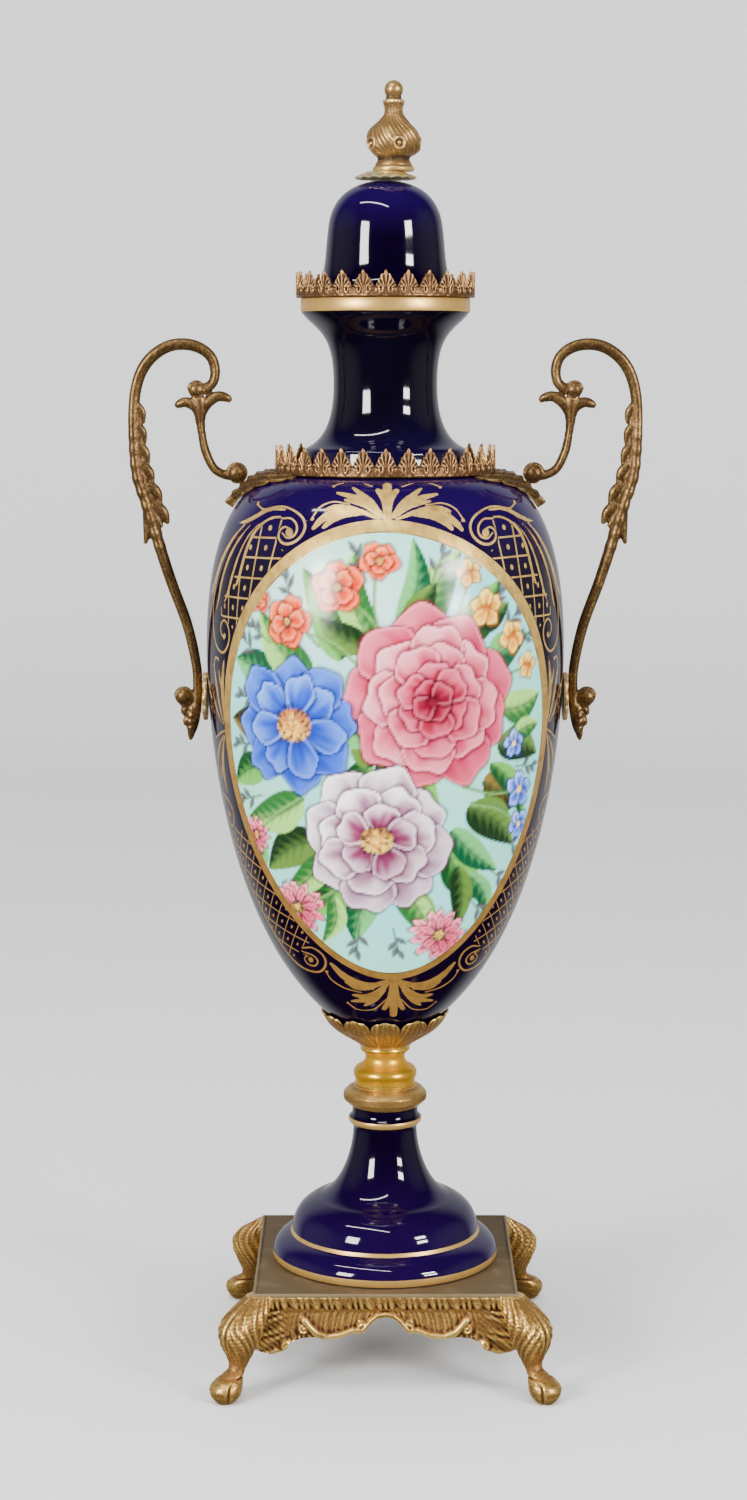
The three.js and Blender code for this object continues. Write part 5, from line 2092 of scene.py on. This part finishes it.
class Painter:
    """Paints and gilds the front of the body, and hands over the layers that the finish reads."""

    HALF = math.radians(86)
    BACK_FRAME = 5.0
    STALK = (srgb(40, 96, 48), srgb(120, 170, 90))
    DABS = ((0.45, 0.8), (0.6, -0.8), (1.0, 0.25), (0.85, -0.5))

    def __init__(self, across: np.ndarray, along: np.ndarray, angle: np.ndarray, skin: np.ndarray) -> None:
        """Keeps the map of the skin."""
        self.across, self.along, self.angle, self.skin = across, along, angle, skin

    def bouquet(self, chosen: np.ndarray) -> np.ndarray:
        """Paints the bouquet over the chosen places and returns their colours.

        Args:
            chosen: Numbers of the places.

        Returns:
            One colour for each of them.
        """
        canvas = Canvas(self.across[chosen], self.along[chosen])
        for root_x, root_y, tip_x, tip_y, width, tone, bend in FOLIAGE:
            dark, light = (srgb(*screen) for screen in GREENS[tone])
            canvas.leaf((root_x, root_y), (tip_x, tip_y), width, dark, light, bend)
        for x, y, angle, size in SPRIGS:
            self.sprig(canvas, x * 0.84, y * 0.84, angle, size * 1.5)
        for x0, y0, x1, y1, bow in STEMS:
            middle = ((x0 + x1) / 2 + bow, (y0 + y1) / 2 + bow)
            canvas.stroke([(x0, y0, 0.9), (*middle, 0.8), (x1, y1, 0.6)], *self.STALK)
        for bloom, x, y, size, turn in BLOOMS:
            bloom.paint(canvas, (x, y), size, turn)
        return canvas.colour

    def sprig(self, canvas: Canvas, x: float, y: float, angle: float, size: float) -> None:
        """Paints a fine dark sprig: a stem with paired dabs.

        Args:
            canvas: The painted oval.
            x: Where it starts.
            y: Where it starts.
            angle: Where it points, in radians.
            size: Its length.
        """
        dark, light = SPRIG_TONES
        tip = (x + size * math.cos(angle), y + size * math.sin(angle))
        canvas.stroke([(x, y, 0.45), (*tip, 0.5)], dark, dark, 0.85)
        for share, lean in self.DABS:
            start = (x + size * share * math.cos(angle), y + size * share * math.sin(angle))
            turn = angle + lean
            end = (start[0] + size * 0.5 * math.cos(turn), start[1] + size * 0.5 * math.sin(turn))
            middle = ((start[0] + end[0]) / 2, (start[1] + end[1]) / 2)
            canvas.stroke([(*start, 0.4), (*middle, 1.5), (*end, 0.45)], dark, light)

    def layers(self) -> dict[str, np.ndarray]:
        """Returns the attributes that the finish reads: the picture and the gold's signed distances."""
        chosen = np.flatnonzero(self.skin & (np.abs(self.angle) < self.HALF))
        far = np.full(len(self.across), FAR)
        gilder = Gilder(self.across[chosen], self.along[chosen], self.angle[chosen])
        outer, inner = gilder.frame()

        def spread(*columns: np.ndarray) -> np.ndarray:
            """Puts columns for the chosen places in a table of all places."""
            table = np.full((len(far), 3), FAR)
            for index, column in enumerate(columns):
                table[chosen, index] = column
            return table

        oval = chosen[inner < 4]
        picture = np.zeros((len(far), 4))
        picture[:, 3] = 1
        picture[oval, :3] = self.bouquet(oval)
        behind = Gilder(self.across, self.along, math.pi - np.abs(self.angle)).frame()[0]
        return {
            "picture": picture, "frame": spread(outer, inner, gilder.leaves()),
            "net": spread(*gilder.net(outer)), "lines": spread(*gilder.lines(LINES)),
            "inner_lines": spread(*gilder.lines(INNER_LINES)),
            "innermost_lines": spread(*gilder.lines(INNERMOST_LINES)),
            "back": np.stack([behind, behind + self.BACK_FRAME, far], axis=1),
        }


@dataclass(frozen=True)
class PaintedPorcelain:
    """Cobalt glaze with the painted oval, its gold frame and the gilded ornament."""

    name: str = "painted_porcelain"
    blue: Colour = srgb(21, 1, 58)
    # deep serves as painted shade below the shoulder and as the colour of random darker clouds
    deep: Colour = srgb(9, 1, 22)
    gold: Colour = srgb(228, 190, 104)
    # painted shade: the darker gold used low on the body
    shaded_gold: Colour = srgb(188, 142, 66)
    tarnish: Colour = srgb(126, 84, 38)
    stain: Colour = srgb(92, 60, 44)

    def make(self) -> Material:
        """Returns the material; it reads the layers that the painter leaves on the mesh."""
        shader = Shader(self.name)
        outer, inner, leaves = shader.split(shader.attribute("frame", "Vector"))
        bristle = (shader.noise(0.7, 3.0) - 0.5) * 0.34
        oval = shader.step(inner, 0.12, -0.12)
        band = shader.step(inner, -0.12, 0.12) * shader.step(outer + bristle, 0.12, -0.12)
        gilt = shader.most(band, shader.step(leaves + bristle, 0.14, -0.14))
        for name in ("lines", "inner_lines", "innermost_lines"):
            offset, gap, _ = shader.split(shader.attribute(name, "Vector"))
            line = shader.step(abs(offset) + bristle, 1.2, 0.8) * shader.step(gap, 1.5, 1.3)
            gilt = shader.most(gilt, line)
        wide, thin, _ = shader.split(shader.attribute("back", "Vector"))
        gilt = shader.most(gilt, shader.step(abs(wide) + bristle, 1.25, 1.0))
        gilt = shader.most(gilt, shader.step(abs(thin) + bristle, 0.55, 0.35))
        gilt = shader.most(gilt * (1 - oval), self.net(shader, bristle) * shader.step(outer, 0.1, 0.5))
        rub = shader.noise(4.5, 4.0, lean=0.5)
        height = shader.height()
        # painted light and shade on the gold: brighter towards the shoulder, darker lower down
        gold = shader.mix(shader.step(height, 250, 410), self.shaded_gold, self.gold)
        gold = shader.mix(shader.step(rub, 0.35, 0.8) * 0.6, gold, self.tarnish)
        stain = shader.step(abs(inner - 0.35), 0.5, 0.1) * shader.step(shader.noise(16.0), 0.42, 0.6)
        gold = shader.mix(stain * 0.8, gold, self.stain)
        # painted light and shade on the cobalt: brighter blue on the upper shoulder, deep blue below
        ground = shader.mix(shader.step(height, 376, 412), self.deep, self.blue)
        ground = shader.mix(shader.noise(30.0) * 0.4, ground, self.deep)
        colour = shader.mix(oval, ground, shader.attribute("picture", "Color"))
        shader.set(
            Base_Color=shader.mix(gilt, colour, gold), Metallic=gilt * 0.62,
            Roughness=0.07 + oval * 0.1 + gilt * (0.2 + rub * 0.14), IOR=1.5,
        )
        shader.bump(gilt * 0.6 + shader.noise(6.0, 1.0) * 0.4, 0.03)
        return shader.material

    def net(self, shader: Shader, bristle: Wire) -> Wire:
        """Returns where the trellis's wires and the seeds between them lie.

        Args:
            shader: The material.
            bristle: Roughness of the brush's edge.

        Returns:
            1 on the gold and 0 off it.
        """
        first, second, region = shader.split(shader.attribute("net", "Vector"))
        wires = []
        for count in (first, second):
            part = shader.maths("FRACT", count)
            wires.append(shader.maths("MINIMUM", part, 1 - part))
        wire = shader.step(shader.maths("MINIMUM", *wires) + bristle * 0.05, 0.052, 0.03)
        across, along = ((0.5 - gap) * (0.5 - gap) for gap in wires)
        seed = shader.step(shader.maths("SQRT", across * 1.9 + along) + bristle * 0.05, 0.15, 0.11)
        return shader.most(wire, seed) * shader.step(region, 0.0, -0.5)


# ---- the body


@dataclass
class Body:
    """Porcelain body with its painted oval and gilded ornament."""

    level: Pair = field(default_factory=lambda: levels("body"))
    steps: int = 96
    row: float = 5.4
    inner_row: float = 9.0
    cuts: int = 5
    fine_half: float = math.radians(84)
    fine_low: float = 163.0
    fine_high: float = 419.5
    foot: float = 8.0
    mouth: float = 30.0
    wall: float = 5.0
    near: float = 1.5
    skin_start: float = 15.9

    def shape(self, belly: Belly) -> Shape:
        """Turns the body and gives its front a fine skin for the painter.

        Args:
            belly: The body's profile.

        Returns:
            The mesh, in millimetres.
        """
        low, top = self.level
        ceiling = top - self.wall
        wall = inset(belly.rows(self.inner_row)[3:-5], self.wall)[::-1]
        mouth = [(self.mouth + 0.4, top), (self.mouth, top - 0.4), (self.mouth, ceiling), (44, ceiling)]
        profile = [(0, low), (self.foot, low), *belly.rows(self.row), *mouth, *wall, (0, wall[-1][1])]
        shape = spin(profile, self.steps)
        skin = []
        for face in shape.faces:
            x, y, z = face.calc_center_median()
            radius = math.hypot(x, y)
            near = abs(belly.settle(np.array([radius]), np.array([z]))[0][0] - radius) < self.near
            if near and abs(math.atan2(x, -y)) < self.fine_half and self.fine_low < z < self.fine_high:
                skin.append(face)
        edges = list({edge for face in skin for edge in face.edges})
        bmesh.ops.subdivide_edges(shape, edges=edges, cuts=self.cuts, use_grid_fill=True)
        return shape

    def build(self, finishes: "Finishes") -> None:
        """Builds, paints and dresses the body.

        Args:
            finishes: The urn's materials.
        """
        belly = Belly()
        shape = self.shape(belly)
        verts = list(shape.verts)
        x, y, z = np.array([vert.co[:] for vert in verts]).T
        radius, angle = np.hypot(x, y), np.arctan2(x, -y)
        skin_radius, height, along = belly.settle(radius, z)
        skin = (np.abs(skin_radius - radius) < self.near) & (np.abs(height - z) < self.near)
        skin &= radius > self.skin_start
        for index in np.flatnonzero(skin):
            out, turn = skin_radius[index], angle[index]
            verts[index].co = (out * math.sin(turn), -out * math.cos(turn), height[index])
        piece = finished(shape, "painted_body", ["body"], Slot.PORCELAIN, finishes.body, 35)
        for name, values in Painter(angle * skin_radius, along, angle, skin).layers().items():
            is_colour = values.shape[1] == 4
            layer = piece.data.attributes.new(name, "FLOAT_COLOR" if is_colour else "FLOAT_VECTOR", "POINT")
            layer.data.foreach_set("color" if is_colour else "vector", values.astype(np.float32).ravel())


# ---- studio


@dataclass
class Studio:
    """Pale floor and backdrop, softboxes and the camera, in metres."""

    aim_height: float = 0.33
    lens: float = 67.68
    sensor: float = 36.0
    camera_place: Triple = (-0.0055, -1.314, 0.4736)
    camera_dip: float = 7.87
    daylight: Colour = (0.95, 0.97, 1.0)
    lamp_tint: Colour = (1.0, 0.98, 0.95)
    backdrop: tuple[Pair, ...] = (
        (0, 0), (0.5, 0), (1.0, 0), (1.9, 0), (2.3, 0.06), (2.52, 0.3), (2.6, 0.7), (2.62, 3.6),
    )

    def softbox(
        self, name: str, azimuth: float, elevation: float, size: Pair, power: float, gap: float = 2.4
    ) -> bpy.types.Object:
        """Hangs a softbox that faces the urn.

        Args:
            name: Its name.
            azimuth: Degrees round from the front, to the right.
            elevation: Degrees above the horizon as the urn's middle sees it.
            size: Width and height.
            power: Watts.
            gap: Distance from the urn's middle.

        Returns:
            The lamp.
        """
        data = bpy.data.lights.new(name, "AREA")
        data.shape = "RECTANGLE"
        data.size, data.size_y = size
        data.energy = power
        data.color = self.lamp_tint
        lamp = bpy.data.objects.new(name, data)
        bpy.context.scene.collection.objects.link(lamp)
        turn, rise = math.radians(azimuth), math.radians(elevation)
        aim = Vector((math.sin(turn) * math.cos(rise), -math.cos(turn) * math.cos(rise), math.sin(rise)))
        lamp.location = Vector((0, 0, self.aim_height)) + aim * gap
        lamp.rotation_euler = aim.to_track_quat("Z", "Y").to_euler()
        return lamp

    def world(self) -> None:
        """Surrounds the urn: a soft pale room behind it and a dark one in front, as gloss shows them."""
        world = bpy.data.worlds.new("studio")
        world.use_nodes = True
        bpy.context.scene.world = world
        nodes = Nodes(world.node_tree)
        sideways, back, _ = nodes.split(nodes.node("ShaderNodeTexCoord", {}, "Generated"))
        behind = nodes.step(back, 0.42, 0.78, 0.012, 0.62)
        beside = nodes.step(abs(sideways), 0.72, 1.0, top=0.3)
        glossy = nodes.node("ShaderNodeLightPath", {}, "Is Glossy Ray")
        values = {0: glossy, 2: 0.42, 3: nodes.most(behind, beside)}
        background = nodes.tree.nodes["Background"].inputs
        background["Color"].default_value = (*self.daylight, 1)
        nodes.feed(background["Strength"], nodes.node("ShaderNodeMix", values, data_type="FLOAT"))

    def floor(self) -> None:
        """Lays the pale floor and hangs the backdrop as one turned sheet, which gloss does not show."""
        shape = spin(self.backdrop, 128)
        bmesh.ops.reverse_faces(shape, faces=shape.faces)
        for face in shape.faces:
            face.smooth = True
        data = bpy.data.meshes.new("studio_floor")
        shape.to_mesh(data)
        shape.free()
        floor = bpy.data.objects.new("studio_floor", data)
        bpy.context.scene.collection.objects.link(floor)
        shader = Shader("pale_floor")
        shader.set(Base_Color=srgb(224, 225, 227), Roughness=0.55, Specular_IOR_Level=0.3)
        data.materials.append(shader.material)
        floor.visible_glossy = False

    def camera(self) -> None:
        """Sets the camera in front, a little above the middle and looking slightly down."""
        data = bpy.data.cameras.new("camera")
        data.lens = self.lens
        data.sensor_width = self.sensor
        data.clip_end = 20
        camera = bpy.data.objects.new("camera", data)
        camera.location = self.camera_place
        camera.rotation_euler = (math.radians(90 - self.camera_dip), 0, 0)
        bpy.context.scene.collection.objects.link(camera)
        bpy.context.scene.camera = camera

    def build(self) -> None:
        """Sets up the whole studio."""
        self.world()
        self.floor()
        self.camera()
        self.softbox("key_left", -42, 15, (0.66, 0.75), 74)
        self.softbox("right_low", 47, 8, (0.55, 0.26), 26)
        self.softbox("right_high", 47, 21, (0.55, 0.3), 34)
        self.softbox("crescent", -36, 62, (2.2, 0.08), 27)
        self.softbox("overhead", 0, 80, (1.8, 1.8), 44, 2.3).visible_glossy = False


class Finishes:
    """Every material of the urn, made once."""

    def __init__(self) -> None:
        """Makes the materials."""
        self.cast = AgedBrass(
            "aged_gilt_casting", recess=srgb(26, 16, 9), middle=srgb(88, 64, 37), crest=srgb(228, 186, 114),
            red=srgb(80, 52, 31), flecks=0.18, mottle=0.9,
        ).make()
        self.finial = AgedBrass(
            "gilt_finial_casting", recess=srgb(56, 38, 22), middle=srgb(146, 112, 66),
            crest=srgb(236, 198, 130), red=srgb(130, 94, 56), flecks=0.2,
        ).make()
        self.base = AgedBrass(
            "gilt_plinth_casting", recess=srgb(56, 32, 14), middle=srgb(156, 113, 58),
            crest=srgb(252, 214, 122), red=srgb(140, 88, 52), reach=0.4, roughness=0.33, flecks=0.3,
        ).make()
        self.stamped = AgedBrass(
            "coppery_stamped_gallery", recess=srgb(24, 14, 8), middle=srgb(96, 66, 40),
            crest=srgb(200, 154, 98), red=srgb(94, 58, 38), reach=0.18, flecks=0.2,
        ).make()
        self.pale = AgedBrass(
            "pale_stamped_brass", middle=srgb(190, 172, 112), crest=srgb(240, 228, 172),
            red=srgb(170, 140, 80), flecks=0.3,
        ).make()
        self.plate = AgedBrass(
            "dull_bronze_plate", recess=srgb(84, 68, 44), middle=srgb(122, 106, 76),
            crest=srgb(122, 106, 76), red=srgb(112, 92, 64), roughness=0.45, metallic=0.45, pits=0.03,
            flecks=0.15,
        ).make()
        self.collar = AgedBrass(
            "knurled_brass", middle=srgb(138, 106, 54), crest=srgb(214, 174, 98), red=srgb(126, 92, 48),
            reach=0.2, flecks=0.3,
        ).make()
        self.satin = AgedBrass(
            "satin_gold", recess=srgb(136, 96, 18), middle=srgb(228, 171, 38), crest=srgb(248, 208, 84),
            red=srgb(218, 160, 32), roughness=0.28, metallic=0.85, pits=0.02, reach=1.2, flecks=0.0,
        ).make()
        # each glaze: brighter blue as painted light, deep blue as painted shade, and the heights between them
        self.foot_glaze = Cobalt(
            "foot_glaze", srgb(17, 0, 45), srgb(6, 0, 20), (104.0, 58.0),
            ((47.0, 51.0), (59.4, 61.0), (112.6, 115.5)),
        ).make()
        self.neck_glaze = Cobalt(
            "neck_glaze", srgb(14, 4, 40), srgb(5, 3, 14), (452.0, 424.0), ((495.7, 502.5),),
        ).make()
        self.lid_glaze = Cobalt("lid_glaze", srgb(17, 0, 52), srgb(5, 0, 18), (526.0, 553.0)).make()
        self.body = PaintedPorcelain().make()


def main() -> None:
    """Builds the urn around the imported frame."""
    logging.basicConfig(level=logging.INFO, format="%(message)s")
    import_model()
    Studio().build()
    finishes = Finishes()
    Plinth().build(finishes)
    Stem().build(finishes)
    Body().build(finishes)
    Gallery("shoulder_crown", "shoulder_gallery", 51.2, 38.3, 31).build(finishes.stamped)
    Gallery("rim_crown", "rim_gallery", 41.2, 35.6, 25).build(finishes.stamped)
    Crown().build(finishes)
    for side in Side:
        Handle(side).build(finishes)
    bpy.context.view_layer.update()


if __name__ == "__main__":
    main()
